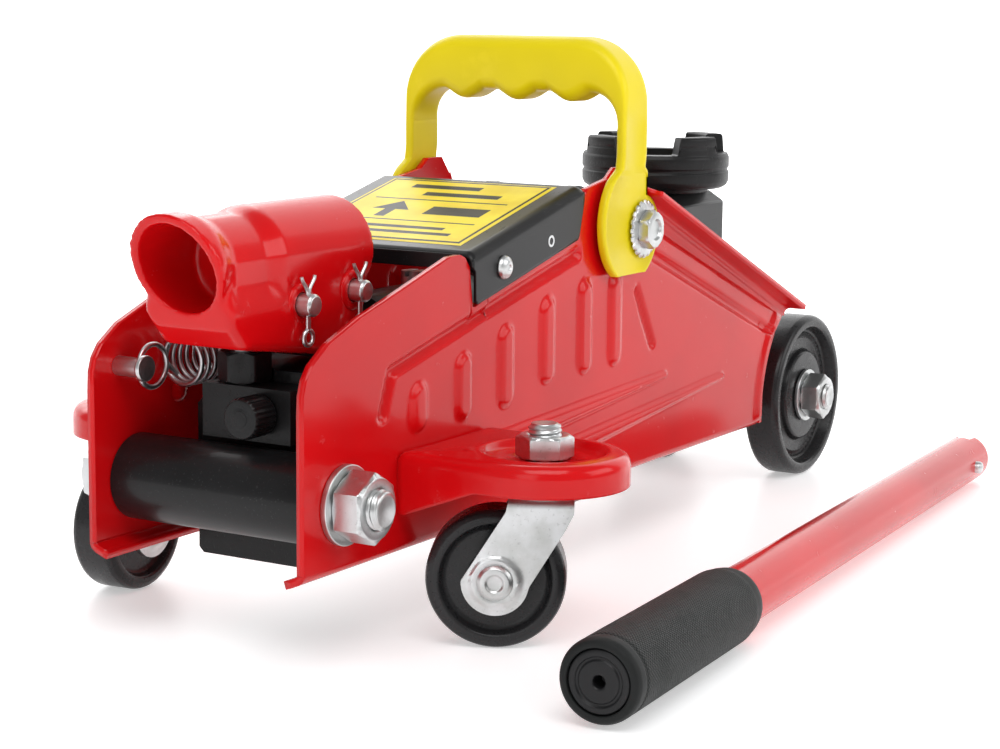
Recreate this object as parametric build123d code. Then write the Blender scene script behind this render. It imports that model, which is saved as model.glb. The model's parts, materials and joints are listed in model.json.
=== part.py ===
from build123d import *
import math
import os

# Two-tonne trolley jack with a folding carry handle, and its loose pump handle lying beside it.
# Millimetres. +X points towards the saddle, +Y to the jack's left, +Z up. The jack is drawn about
# its own centre plane, y = 0, standing on z = 0, and is moved to the centre of its footprint at the end.

# ---- Frame plates ----
PLATE_OUTER = 46.3          # half width over the side plates
PLATE_GAUGE = 3.0
PLATE_INNER = PLATE_OUTER - PLATE_GAUGE
PLATE_BOTTOM = 34.0
PLATE_REAR = -157.0
TONGUE_OUTER = 26.0         # half width of the narrow nose between the front wheels
ARCH_RADIUS = 60.0          # wheel arch, about the front axle
FLANGE_REACH = 10.5         # how far the sloping top flange stands out
FLANGE_GAUGE = 2.2
FLANGE_REAR = (75.5, 151.2)
FLANGE_FRONT = (227.0, 87.6)

# ---- Front wheels ----
FRONT_X = 262.0
FRONT_RADIUS = 38.7
FRONT_WHEEL_INNER = 28.0
FRONT_WHEEL_OUTER = 45.0
AXLE_RADIUS = 6.0

# ---- Casters ----
CASTER_X = -71.0
CASTER_Y = 88.5
CASTER_TRAIL = 16.5
CASTER_RADIUS = 25.0
CASTER_HALF_WIDTH = 9.0
CASTER_TURN_RIGHT = 118.0   # direction in which each wheel trails at rest, degrees from +X
CASTER_TURN_LEFT = 184.0
STUD_RADIUS = 6.0
PAN_RADIUS = 30.5
PAN_TOP = 70.0
PAN_SKIRT = 58.5
FORK_TOP = 56.5
SHEET = 3.0

# ---- Rear cross tube and tie rod ----
TUBE_X = -134.0
TUBE_Z = 57.0
TUBE_RADIUS = 15.5
TIE_RADIUS = 7.0            # M14

# ---- Lift linkage: arm pivot P, saddle pin S, radius-rod pins P - OFFSET and S - OFFSET ----
PIVOT_X = 70.0
PIVOT_Z = 135.0
SHAFT_RADIUS = 9.0
SADDLE_PIN_X = 178.0
SADDLE_PIN_Z = 71.0
ROD_OFFSET = 24.0
ARM_REST = math.degrees(math.atan2(SADDLE_PIN_Z - PIVOT_Z, SADDLE_PIN_X - PIVOT_X))
ARM_RAISED = 45.0
LIFT_SWING = ARM_RAISED - ARM_REST
ARM_INNER = 17.0
ARM_OUTER = 22.0
ROD_INNER = 27.0
ROD_OUTER = 32.0
DRIVE_DROP = 38.0           # ram axis below the arm pivot
RAM_Z = PIVOT_Z - DRIVE_DROP
DRIVE_REACH = DRIVE_DROP * math.tan(math.radians(LIFT_SWING / 2))
RAM_STROKE = 2 * DRIVE_REACH
DRIVE_X = PIVOT_X - DRIVE_REACH
DRIVE_RADIUS = 6.0
SLOT_PLAY = 2.4             # the drive pin's side play in the arm's slots

# ---- Saddle ----
SADDLE_X = 182.0
SADDLE_RADIUS = 33.5
SADDLE_BASE = 143.0
SADDLE_RIM = 158.0
SADDLE_TOP = 166.5
SADDLE_FLOOR = 150.0

# ---- Hydraulic unit ----
BLOCK_REAR = -116.0
BLOCK_FRONT = -60.0
CYLINDER_RADIUS = 21.0
CYLINDER_FRONT = 17.0
GLAND_FRONT = 27.0
RAM_RADIUS = 11.0
PISTON_RADIUS = 14.0

# ---- Handle socket and pump ----
SOCKET_PIVOT_X = -89.5
SOCKET_PIVOT_Z = 123.8
SOCKET_SWING = 45.0
PUMP_ARM = 31.5             # pump pin behind the socket's pivot
PUMP_PIN_Z = 122.0
SOCKET_Z = 137.0
SOCKET_RADIUS = 19.0
SOCKET_BORE = 15.5
SOCKET_MOUTH = -165.0
SOCKET_BORE_END = -135.0
PUMP_Y = 5.0
PUMP_STROKE = PUMP_ARM * math.sin(math.radians(SOCKET_SWING))
PLUNGER_RADIUS = 5.0
VALVE_Y = -10.0
VALVE_Z = 84.0

# ---- Cover ----
COVER_REAR = (-53.8, 135.5)
COVER_FRONT = (29.0, 155.3)
COVER_OUTER = 47.8
COVER_GAUGE = 1.2

# ---- Carry handle ----
CARRY_X = 63.0
CARRY_TOP = 212.0
CARRY_BAR = 22.0            # height of the grip bar
CARRY_HALF = 10.5           # half depth of the strap along X
CARRY_INNER = 48.3
CARRY_OUTER = 52.3
CARRY_SWING = 42.0
CARRY_BOLT = 5.0
LUG_FRONT_RADIUS = 14.2     # about the bolt, where the lug turns under the side plate's flange

# ---- Pump handle, lying on the floor ----
GRIP_RADIUS = 14.3
HANDLE_RADIUS = 10.95
HANDLE_REAR = (-148.6, -153.2, GRIP_RADIUS + 1.35)
HANDLE_FRONT = (289.8, -115.6, HANDLE_RADIUS + 0.05)
GRIP_LENGTH = 118.0
HANDLE_BORE = 9.2

# ---- Fits ----
RUN = 0.06                  # radial running clearance of a shaft in its hole
GAP = 0.3                   # clearance between other surfaces that pass each other


# ---- Helpers ----
def rod(start, end, radius, hole=0.0):
    """Round bar or tube between two points."""
    start, end = Vector(*start), Vector(*end)
    section = Circle(radius) - Circle(hole) if hole else Circle(radius)
    return extrude(Plane(origin=start, z_dir=end - start) * section, amount=(end - start).length)


def hexagon(start, end, flats, hole=0.0):
    """Hexagonal bar between two points, with its corners turned off at both ends."""
    start, end = Vector(*start), Vector(*end)
    axis = end - start
    section = RegularPolygon(flats / 2, 6, major_radius=False)
    if hole:
        section -= Circle(hole)
    bar = extrude(Plane(origin=start, z_dir=axis) * section, amount=axis.length)
    cone = rod(start, end, flats * 0.56)
    return bar & chamfer(cone.edges(), min(1.0, axis.length / 4))


def block(x0, x1, y0, y1, z0, z1):
    """Box between two corners."""
    return Pos((x0 + x1) / 2, (y0 + y1) / 2, (z0 + z1) / 2) * Box(x1 - x0, y1 - y0, z1 - z0)


def outline_face(points):
    """Flat face inside a closed outline, taken anticlockwise so that it extrudes forwards."""
    turns = zip(points, points[1:] + points[:1])
    area = sum(a[0] * b[1] - b[0] * a[1] for a, b in turns)
    return Polygon(*(points if area > 0 else points[::-1]), align=None)


def side_cut(points, y0, y1):
    """Prism whose outline is drawn in X and Z, between two values of y."""
    return extrude(Plane.XZ.offset(-y1) * outline_face(points), amount=y1 - y0)


def end_cut(points, x0, x1):
    """Prism whose outline is drawn in Y and Z, between two values of x."""
    return extrude(Plane.YZ.offset(x0) * outline_face(points), amount=x1 - x0)


def taper_bar(first, r_first, second, r_second, y0, y1):
    """Flat bar in the XZ plane, round at both ends, between two values of y."""
    ends = ((first, r_first), (second, r_second))
    outline = make_hull([edge for centre, radius in ends for edge in (Pos(*centre) * Circle(radius)).edges()])
    return extrude(Plane.XZ.offset(-y1) * outline, amount=y1 - y0)


def about(point, angle, reach):
    """Point at a distance and an angle from another, in the XZ plane."""
    turn = math.radians(angle)
    return point[0] + reach * math.cos(turn), point[1] + reach * math.sin(turn)


def both_sides(shape):
    """The shape and its mirror image across the centre plane, as separate solids."""
    return Compound(shape.solids() + mirror(shape, about=Plane.XZ).solids())


def merged(shape):
    """All the solids of a shape as one node."""
    return Compound(shape.solids())


parts = {}
P = (PIVOT_X, PIVOT_Z)
S = (SADDLE_PIN_X, SADDLE_PIN_Z)
Q = (PIVOT_X, PIVOT_Z - ROD_OFFSET)
T = (SADDLE_PIN_X, SADDLE_PIN_Z - ROD_OFFSET)


# ---- Side plates: a pressed sheet with a sloping top flange, a bottom lip and a wheel arch ----
PLATE_OUTLINE = [
    (PLATE_REAR, PLATE_BOTTOM), (-157, 94), (-152, 105), (-142, 112.7), (-123, 119.6), (-99.8, 125.8),
    (-66.8, 135), (-57, 134), (-53.8, 130.2), (-51.5, 115), (-41, 118), (-41, 129), (30, 147), (34, 153),
    (52, 156), (58, 160), (68, 160), FLANGE_REAR, FLANGE_FRONT, (236, 80), (300, 40), (300, 20),
    (FRONT_X, 20), (240, PLATE_BOTTOM),
]
FLANGE_SLOPE = math.atan2(FLANGE_FRONT[1] - FLANGE_REAR[1], FLANGE_FRONT[0] - FLANGE_REAR[0])
FLANGE_DROP = FLANGE_GAUGE / math.cos(FLANGE_SLOPE)


def side_plate():
    """The left plate, at positive y."""
    def cross(x, z, radius, y0=0, y1=100):
        """Round bar across the jack."""
        return rod((x, y0, z), (x, y1, z), radius)

    inner_tongue = TONGUE_OUTER - PLATE_GAUGE
    outline = side_cut(PLATE_OUTLINE, 0, PLATE_OUTER)
    web = outline & block(-400, 400, PLATE_INNER, PLATE_OUTER, 0, 200)
    web -= cross(FRONT_X, FRONT_RADIUS, ARCH_RADIUS)
    arch = cross(FRONT_X, FRONT_RADIUS, ARCH_RADIUS + 0.01, inner_tongue, PLATE_OUTER)
    arch -= cross(FRONT_X, FRONT_RADIUS, ARCH_RADIUS - PLATE_GAUGE)
    arch = arch & outline & block(0, 236, 0, 100, 0, 200)
    nose_outline = [(203, PLATE_BOTTOM), (240, 26), (280, 24), (288, 34), (284, 52), (230, 84), (222, 80),
                    (203, 48)]
    nose = side_cut(nose_outline, inner_tongue, TONGUE_OUTER)
    nose = nose & cross(FRONT_X, FRONT_RADIUS, ARCH_RADIUS - 0.5)
    under = [(x, z - FLANGE_DROP) for x, z in (FLANGE_FRONT, FLANGE_REAR)]
    flange = side_cut([FLANGE_REAR, FLANGE_FRONT] + under, PLATE_INNER, PLATE_OUTER + FLANGE_REACH)
    lip_points = [(PLATE_OUTER, 36.5), (PLATE_OUTER, 33.6), (39.6, 30.6), (38.4, 33.4), (PLATE_INNER, 36.0)]
    lip = end_cut(lip_points, PLATE_REAR, 200) - cross(FRONT_X, FRONT_RADIUS, ARCH_RADIUS)
    plate = web + arch + nose + flange + lip
    plate -= cross(FRONT_X, FRONT_RADIUS, AXLE_RADIUS)
    plate -= cross(TUBE_X, TUBE_Z, TIE_RADIUS)
    return plate - cross(PIVOT_X, PIVOT_Z, SHAFT_RADIUS)


plate_left = side_plate()
parts["side_plate_left"] = plate_left
parts["side_plate_right"] = mirror(plate_left, about=Plane.XZ)


# ---- Caster brackets: a pressed pan with a skirt, welded to the plate ----
def caster_bracket():
    """The left bracket: a U-shaped pan, deeper towards the plate, with a dished seat for the stud's nut."""
    def pan(inset, low, high, near):
        tray = extrude(Pos(CASTER_X, CASTER_Y, low) * Circle(PAN_RADIUS - inset), amount=high - low)
        half = PAN_RADIUS - inset
        return tray + block(CASTER_X - half, CASTER_X + half, near, CASTER_Y, low, high)

    shell = pan(0, 48, PAN_TOP, PLATE_OUTER) - pan(SHEET, 40, PAN_TOP - SHEET, PLATE_OUTER - 20)
    under = [(PLATE_OUTER - 5, 47.5), (PLATE_OUTER + 3, 47.5), (CASTER_Y - 12, PAN_SKIRT), (140, PAN_SKIRT),
             (140, 40), (PLATE_OUTER - 5, 40)]
    shell -= end_cut(under, -140, 0)
    seat = rod((CASTER_X, CASTER_Y, PAN_TOP - 5.5), (CASTER_X, CASTER_Y, PAN_TOP - 2.5), 24)
    ring = rod((CASTER_X, CASTER_Y, PAN_TOP - 5.5), (CASTER_X, CASTER_Y, PAN_TOP), 24, 21)
    shell -= rod((CASTER_X, CASTER_Y, PAN_TOP - SHEET - 1), (CASTER_X, CASTER_Y, PAN_TOP + 1), 21)
    shell += seat + ring
    return shell - rod((CASTER_X, CASTER_Y, 40), (CASTER_X, CASTER_Y, 90), STUD_RADIUS)


bracket_left = caster_bracket()
parts["caster_bracket_left"] = bracket_left
parts["caster_bracket_right"] = mirror(bracket_left, about=Plane.XZ)

SEAT_TOP = PAN_TOP - 2.5
SEAT_UNDER = PAN_TOP - 5.5
stud = rod((CASTER_X, CASTER_Y, 51), (CASTER_X, CASTER_Y, 80), STUD_RADIUS)
stud += rod((CASTER_X, CASTER_Y, 50.6), (CASTER_X, CASTER_Y, 53.1), 9.2)
parts["caster_studs"] = both_sides(stud)
parts["caster_stud_nuts"] = both_sides(
    hexagon((CASTER_X, CASTER_Y, SEAT_TOP), (CASTER_X, CASTER_Y, SEAT_TOP + 8.5), 18, STUD_RADIUS))
parts["swivel_races"] = both_sides(
    rod((CASTER_X, CASTER_Y, FORK_TOP + GAP), (CASTER_X, CASTER_Y, SEAT_UNDER), 15, STUD_RADIUS))


# ---- Casters, drawn with the swivel axis at the origin and the wheel trailing along +X ----
def caster(side, turn):
    """Fork, rivet and wheel of one caster, turned to its rest direction under its bracket."""
    name = "left" if side > 0 else "right"
    place = Pos(CASTER_X, side * CASTER_Y, 0) * Rot(0, 0, turn)
    axle = (CASTER_TRAIL, CASTER_RADIUS)
    gap, cheek = CASTER_HALF_WIDTH + 0.8, 2.4
    fork = rod((0, 0, FORK_TOP - SHEET), (0, 0, FORK_TOP), 15)
    fork += block(-11, 11, -gap - cheek, gap + cheek, FORK_TOP - SHEET, FORK_TOP)
    for s in (-1, 1):
        low, high = sorted((s * gap, s * (gap + cheek)))
        outline = [(-11, FORK_TOP), (11.5, FORK_TOP), (13, 50), about(axle, 8, 12), about(axle, 188, 12),
                   (-8, 44), (-11, 50)]
        plate = side_cut(outline, low, high)
        fork += plate + rod((axle[0], low, axle[1]), (axle[0], high, axle[1]), 12)
    fork -= rod((axle[0], -30, axle[1]), (axle[0], 30, axle[1]), 4)
    fork -= rod((0, 0, 40), (0, 0, 60), STUD_RADIUS + RUN)
    edge = gap + cheek
    rivet = rod((axle[0], -edge - 2.5, axle[1]), (axle[0], edge + 2.5, axle[1]), 4)
    rivet += rod((axle[0], edge, axle[1]), (axle[0], edge + 2.5, axle[1]), 6.5)
    rivet += rod((axle[0], -edge - 2.5, axle[1]), (axle[0], -edge, axle[1]), 6.5)
    w = CASTER_HALF_WIDTH
    wheel = rod((axle[0], -w, axle[1]), (axle[0], w, axle[1]), CASTER_RADIUS)
    wheel = fillet(wheel.edges().filter_by(GeomType.CIRCLE), 3)
    for s in (-1, 1):
        groove = rod((axle[0], s * (w - 4), axle[1]), (axle[0], s * (w + 1), axle[1]), 19.5, 9.5)
        wheel -= groove
    wheel -= rod((axle[0], -w - 1, axle[1]), (axle[0], w + 1, axle[1]), 4 + RUN)
    parts[f"caster_fork_{name}"] = place * fork
    parts[f"caster_rivet_{name}"] = place * rivet
    parts[f"caster_wheel_{name}"] = place * wheel


caster(1, CASTER_TURN_LEFT)
caster(-1, CASTER_TURN_RIGHT)


# ---- Rear cross tube, tie rod, nuts and washers ----
parts["rear_cross_tube"] = rod(
    (TUBE_X, -PLATE_INNER, TUBE_Z), (TUBE_X, PLATE_INNER, TUBE_Z), TUBE_RADIUS, TIE_RADIUS)
parts["rear_tie_rod"] = rod((TUBE_X, -64, TUBE_Z), (TUBE_X, 64, TUBE_Z), TIE_RADIUS)
parts["tie_rod_washers"] = both_sides(
    rod((TUBE_X, PLATE_OUTER, TUBE_Z), (TUBE_X, 48.8, TUBE_Z), 14, TIE_RADIUS))
parts["tie_rod_nuts"] = both_sides(hexagon((TUBE_X, 48.8, TUBE_Z), (TUBE_X, 60.5, TUBE_Z), 22, TIE_RADIUS))


# ---- Front axle and wheels ----
HUB_OUTER = 42.5


def on_axle(y0, y1, radius, hole=0.0):
    """Disc or ring about the front axle, between two values of y."""
    return rod((FRONT_X, y0, FRONT_RADIUS), (FRONT_X, y1, FRONT_RADIUS), radius, hole)


parts["front_axle"] = on_axle(-56, 56, AXLE_RADIUS)
parts["axle_washers"] = both_sides(
    on_axle(TONGUE_OUTER, FRONT_WHEEL_INNER - GAP, 11, AXLE_RADIUS)
    + on_axle(HUB_OUTER + GAP, HUB_OUTER + 2, 12.5, AXLE_RADIUS))
parts["axle_nuts"] = both_sides(hexagon(
    (FRONT_X, HUB_OUTER + 2, FRONT_RADIUS), (FRONT_X, HUB_OUTER + 11.5, FRONT_RADIUS), 19, AXLE_RADIUS))


def front_wheel():
    """Solid wheel with a dished outer face, a raised ring about the hub and a shallow inner dish."""
    wheel = on_axle(FRONT_WHEEL_INNER, FRONT_WHEEL_OUTER, FRONT_RADIUS)
    wheel = fillet(wheel.edges().filter_by(GeomType.CIRCLE), 2.5)
    wheel -= on_axle(FRONT_WHEEL_OUTER - 6, 50, 32, 20)
    wheel -= on_axle(HUB_OUTER, 50, 21)
    wheel -= on_axle(20, FRONT_WHEEL_INNER + 4, 32, 15)
    return wheel - on_axle(0, 60, AXLE_RADIUS + RUN)


wheel_left = front_wheel()
parts["front_wheel_left"] = wheel_left
parts["front_wheel_right"] = mirror(wheel_left, about=Plane.XZ)


# ---- Hydraulic unit ----
PUMP_X = SOCKET_PIVOT_X - PUMP_ARM
base = block(BLOCK_REAR, BLOCK_FRONT, -30, 30, 27, 84) + block(BLOCK_REAR, BLOCK_FRONT, -21, 21, 80, 97)
base = chamfer(base.edges().filter_by(Axis.X), 2)
base += block(-131, BLOCK_REAR + 1, -22, 16, 74, 93)
base += block(-99, -80, -10, 10, 100, 124) + rod((SOCKET_PIVOT_X, -10, SOCKET_PIVOT_Z),
                                                 (SOCKET_PIVOT_X, 10, SOCKET_PIVOT_Z), 9.5)
base -= rod((SOCKET_PIVOT_X, -20, SOCKET_PIVOT_Z), (SOCKET_PIVOT_X, 20, SOCKET_PIVOT_Z), 4 + RUN)
base -= rod((PUMP_X, PUMP_Y, 77), (PUMP_X, PUMP_Y, 120), PLUNGER_RADIUS + RUN)
base -= rod((PUMP_X, PUMP_Y, 93), (PUMP_X, PUMP_Y, 120), 10.2)
base -= rod((-140, VALVE_Y, VALVE_Z), (-119, VALVE_Y, VALVE_Z), 3.5 + RUN)
base -= rod((-70, 0, RAM_Z - 3), (BLOCK_FRONT + 1, 0, RAM_Z - 3), 16)
parts["hydraulic_base"] = base
cylinder = rod((-70, 0, RAM_Z - 3), (BLOCK_FRONT, 0, RAM_Z - 3), 16)
cylinder += rod((BLOCK_FRONT, 0, RAM_Z), (CYLINDER_FRONT, 0, RAM_Z), CYLINDER_RADIUS)
cylinder -= rod((BLOCK_FRONT, 0, RAM_Z), (CYLINDER_FRONT + 1, 0, RAM_Z), PISTON_RADIUS + RUN)
parts["hydraulic_cylinder"] = cylinder
parts["cylinder_gland"] = hexagon((CYLINDER_FRONT, 0, RAM_Z), (GLAND_FRONT, 0, RAM_Z), 32, RAM_RADIUS + RUN)
filler = rod((-20, 0, RAM_Z + 18), (-20, 0, RAM_Z + 26), 5)
parts["filler_plug"] = filler - block(-30, -10, -1, 1, RAM_Z + 24, 130)
parts["hydraulic_cylinder"] -= filler
parts["pump_barrel"] = hexagon((PUMP_X, PUMP_Y, 93), (PUMP_X, PUMP_Y, 104), 17, PLUNGER_RADIUS + RUN)
valve = rod((-144, VALVE_Y, VALVE_Z), (-131 - GAP, VALVE_Y, VALVE_Z), 7.5)
valve += rod((-132, VALVE_Y, VALVE_Z), (-120, VALVE_Y, VALVE_Z), 3.5)
valve -= block(-145, -140, VALVE_Y - 1.6, VALVE_Y + 1.6, VALVE_Z - 9, VALVE_Z + 9)
parts["release_valve"] = valve
plunger = rod((PUMP_X, PUMP_Y, 78), (PUMP_X, PUMP_Y, 110), PLUNGER_RADIUS)
parts["pump_plunger"] = plunger + block(-126, -107, PUMP_Y - 6, PUMP_Y + 6, 108, PUMP_PIN_Z - 4 - GAP)


# ---- Ram: rod, piston, seal, crosshead and drive pin ----
PISTON_REAR = -58.0
PISTON_FRONT = PISTON_REAR + 10
SEAL_REAR, SEAL_FRONT = PISTON_REAR + 3, PISTON_REAR + 6
SEAL_DEPTH = 2.5
parts["ram_rod"] = rod((PISTON_FRONT, 0, RAM_Z), (DRIVE_X - 8, 0, RAM_Z), RAM_RADIUS)
seal = rod((SEAL_REAR, 0, RAM_Z), (SEAL_FRONT, 0, RAM_Z), PISTON_RADIUS, PISTON_RADIUS - SEAL_DEPTH)
parts["ram_piston"] = rod((PISTON_REAR, 0, RAM_Z), (PISTON_FRONT, 0, RAM_Z), PISTON_RADIUS) - seal
parts["piston_seal"] = seal
crosshead = block(DRIVE_X - 8, DRIVE_X + 9, -14, 14, RAM_Z - 10, RAM_Z + 10)
crosshead = fillet(crosshead.edges().filter_by(Axis.Y), 3)
parts["crosshead"] = crosshead - rod((DRIVE_X, -20, RAM_Z), (DRIVE_X, 20, RAM_Z), DRIVE_RADIUS)
drive = rod((DRIVE_X, -25, RAM_Z), (DRIVE_X, 25, RAM_Z), DRIVE_RADIUS)
drive += rod((DRIVE_X, 0, RAM_Z), (DRIVE_X, 37, RAM_Z), 4)
parts["drive_pin"] = drive


# ---- Lift arm: two cheeks with slotted levers, a hub tube and a top web ----
def arm_cheek(y0, y1):
    """One cheek with its lever, whose radial slot takes the drive pin."""
    lever_angle = -90 - LIFT_SWING / 2
    half_slot = DRIVE_RADIUS + SLOT_PLAY
    near = about(P, lever_angle, DRIVE_DROP - 1.5)
    far = about(P, lever_angle, math.hypot(DRIVE_DROP, DRIVE_REACH) + 1.5)
    cheek = taper_bar(P, 16, S, 10, y0, y1) + taper_bar(P, 16, far, half_slot + 4.6, y0, y1)
    return cheek - taper_bar(near, half_slot, far, half_slot, y0 - 1, y1 + 1)


arm = arm_cheek(ARM_INNER, ARM_OUTER) + arm_cheek(-ARM_OUTER, -ARM_INNER)
arm += rod((PIVOT_X, -24.5, PIVOT_Z), (PIVOT_X, 24.5, PIVOT_Z), 14)
along = ARM_REST
web_points = [about(about(P, along, 18), along + 90, 13), about(about(P, along, 62), along + 90, 10.5),
              about(about(P, along, 62), along + 90, 6.5), about(about(P, along, 18), along + 90, 9)]
arm += side_cut(web_points, -ARM_INNER - 1, ARM_INNER + 1)
arm -= rod((PIVOT_X, -60, PIVOT_Z), (PIVOT_X, 60, PIVOT_Z), SHAFT_RADIUS + RUN)
arm -= rod((S[0], -60, S[1]), (S[0], 60, S[1]), 6)
parts["lift_arm"] = arm
parts["saddle_pin"] = rod((S[0], -24.5, S[1]), (S[0], 24.5, S[1]), 6)
parts["lift_shaft"] = rod((PIVOT_X, -PLATE_OUTER, PIVOT_Z), (PIVOT_X, PLATE_OUTER, PIVOT_Z), SHAFT_RADIUS) \
    - rod((PIVOT_X, 30, PIVOT_Z), (PIVOT_X, 60, PIVOT_Z), CARRY_BOLT) \
    - rod((PIVOT_X, -60, PIVOT_Z), (PIVOT_X, -30, PIVOT_Z), CARRY_BOLT)


# ---- Radius rods, which keep the saddle level, and their studs on the side plates ----
radius_rod = taper_bar(Q, 6, T, 6, ROD_INNER, ROD_OUTER)
for end in (Q, T):
    radius_rod += rod((end[0], ROD_INNER, end[1]), (end[0], ROD_OUTER, end[1]), 8)
radius_rod -= rod((Q[0], 0, Q[1]), (Q[0], 60, Q[1]), 4.5 + RUN)
radius_rod -= rod((T[0], 0, T[1]), (T[0], 60, T[1]), 4.5 + 0.5)
parts["radius_rods"] = both_sides(radius_rod)
parts["rod_studs"] = both_sides(rod((Q[0], 25.5, Q[1]), (Q[0], PLATE_INNER, Q[1]), 4.5))


# ---- Saddle bracket, its rod pin, and the saddle ----
neck = [(165, 41), (191, 41), (194, 60), (194, 108), (162, 108), (168, 85), (165, 60)]
bracket = side_cut(neck, -16.5, 16.5)
box_top = block(155, 209, -22, 22, 108, 140.5)
box_top = chamfer(box_top.edges().group_by(Axis.Z)[-1], 5)
bracket += box_top
bracket -= rod((SADDLE_X, 0, 112), (SADDLE_X, 0, 150), 9 + RUN)
bracket -= rod((S[0], -40, S[1]), (S[0], 40, S[1]), 6 + RUN)
bracket -= rod((T[0], -40, T[1]), (T[0], 40, T[1]), 4.5)
parts["saddle_bracket"] = bracket
parts["rod_pin"] = rod((T[0], -35, T[1]), (T[0], 35, T[1]), 4.5)

saddle = rod((SADDLE_X, 0, SADDLE_BASE), (SADDLE_X, 0, SADDLE_RIM), SADDLE_RADIUS)
saddle = fillet(saddle.edges().group_by(Axis.Z)[0], 3)
saddle += rod((SADDLE_X, 0, 140.5 + GAP), (SADDLE_X, 0, SADDLE_BASE), 24)
saddle += rod((SADDLE_X, 0, 114), (SADDLE_X, 0, SADDLE_BASE), 9)
saddle += rod((SADDLE_X, 0, SADDLE_RIM), (SADDLE_X, 0, SADDLE_TOP), SADDLE_RADIUS - 0.8, 24)
saddle -= rod((SADDLE_X, 0, SADDLE_FLOOR), (SADDLE_X, 0, SADDLE_TOP + 1), 24)
notch = block(0, 40, -12.5, 12.5, SADDLE_RIM, SADDLE_TOP + 1)
for k in range(4):
    saddle -= Pos(SADDLE_X, 0, 0) * Rot(0, 0, 90 * k + 20) * notch
parts["saddle"] = merged(saddle)


# ---- Handle socket ----
socket = rod((-180, 0, SOCKET_Z), (-75, 0, SOCKET_Z), SOCKET_RADIUS)
lobe_outline = [(-160, 140), (-160, 120), (-150, 109), (-101, 101.5), (-84, 106), (-79, 118), (-79, 140)]
lobe = side_cut(lobe_outline, -19, 19)
lobe = fillet(lobe.edges().filter_by(Axis.X, reverse=True).filter_by(Axis.Y, reverse=True), 4)
socket += lobe
mouth_top = (SOCKET_MOUTH - SOCKET_RADIUS * 0.4, SOCKET_Z + SOCKET_RADIUS)
mouth_low = (SOCKET_MOUTH + SOCKET_RADIUS * 0.4, SOCKET_Z - SOCKET_RADIUS)
beyond = [(mouth_top[0] - 4, mouth_top[1] + 10), (mouth_low[0] + 4, mouth_low[1] - 10), (-230, 90),
          (-230, 180)]
socket -= side_cut(beyond, -40, 40)
socket -= rod((-200, 0, SOCKET_Z), (SOCKET_BORE_END, 0, SOCKET_Z), SOCKET_BORE)
socket -= block(-133, -40, -13.5, 13.5, 90, 130)
socket -= block(-110, -40, -13.5, 13.5, 90, 138)
SOCKET_PIVOT = (SOCKET_PIVOT_X, SOCKET_PIVOT_Z)
for x, z in (SOCKET_PIVOT, (PUMP_X, PUMP_PIN_Z)):
    socket -= rod((x, -30, z), (x, 30, z), 4)
parts["handle_socket"] = socket
parts["socket_pivot_pin"] = rod(
    (SOCKET_PIVOT_X, -26, SOCKET_PIVOT_Z), (SOCKET_PIVOT_X, 26, SOCKET_PIVOT_Z), 4)
parts["pump_pin"] = rod((PUMP_X, -26, PUMP_PIN_Z), (PUMP_X, 26, PUMP_PIN_Z), 4)


def split_pin(x, z):
    """Split pin through the right-hand end of a pin: an eye and two legs, upright."""
    y = -22.5
    legs = rod((x, y, z - 9), (x, y, z + 10), 1.0)
    eye = Pos(x, y, z - 12) * Rot(90, 0, 0) * Torus(3, 1.0)
    return legs + eye


pins = [split_pin(x, z) for x, z in (SOCKET_PIVOT, (PUMP_X, PUMP_PIN_Z))]
parts["split_pins"] = Compound([solid for pin in pins for solid in pin.solids()])
for name in ("socket_pivot_pin", "pump_pin"):
    for pin in pins:
        parts[name] = parts[name] - pin


# ---- Cover, label and screws ----
def cover_line(x, drop=0.0):
    """Height of the sloping cover's upper face at x."""
    rise = (COVER_FRONT[1] - COVER_REAR[1]) / (COVER_FRONT[0] - COVER_REAR[0])
    return COVER_REAR[1] + rise * (x - COVER_REAR[0]) - drop


x_rear, x_front = COVER_REAR[0], COVER_FRONT[0]
skin_outline = [(x_rear, cover_line(x_rear)), (x_front, cover_line(x_front)),
                (x_front, cover_line(x_front, 1.5)), (x_rear, cover_line(x_rear, 1.5))]
skin = side_cut(skin_outline, -COVER_OUTER, COVER_OUTER)
skirt_outline = [(x_rear, cover_line(x_rear)), (x_front, cover_line(x_front)), (25, 134), (-41, 118.5),
                 (-50.5, 116.5), (-51.5, 128)]
skirt = side_cut(skirt_outline, COVER_OUTER - COVER_GAUGE, COVER_OUTER)
skirt += mirror(skirt, about=Plane.XZ)
rear_lip = block(x_rear, x_rear + 1.5, -42, 42, 129, cover_line(x_rear))
cover = skin + skirt + rear_lip
SCREW = (-32.6, 128.6)
parts["cover_screws"] = both_sides(
    rod((SCREW[0], PLATE_INNER - 2, SCREW[1]), (SCREW[0], COVER_OUTER, SCREW[1]), 2.5)
    + rod((SCREW[0], COVER_OUTER, SCREW[1]), (SCREW[0], COVER_OUTER + 3, SCREW[1]), 4.5))
for name in ("side_plate_left", "side_plate_right"):
    parts[name] = parts[name] - rod((SCREW[0], -60, SCREW[1]), (SCREW[0], 60, SCREW[1]), 2.5)
cover -= rod((SCREW[0], -60, SCREW[1]), (SCREW[0], 60, SCREW[1]), 2.5)
cover -= rod((3, -60, 135.3), (3, 60, 135.3), 2.2)
parts["cover"] = cover
parts["label_plate"] = side_cut([(-47, cover_line(-47)), (24, cover_line(24)), (24, cover_line(24) + 0.4),
                                 (-47, cover_line(-47) + 0.4)], -38, 38)


# ---- Carry handle, its bolts and washers ----
def handle_outline(half, top, corner):
    """Face in the YZ plane: an arch with rounded upper corners."""
    shape = Polygon((-half, PIVOT_Z), (half, PIVOT_Z), (half, top), (-half, top), align=None)
    upper = shape.vertices().group_by(Axis.Y)[-1]
    return fillet(upper, corner)


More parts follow.
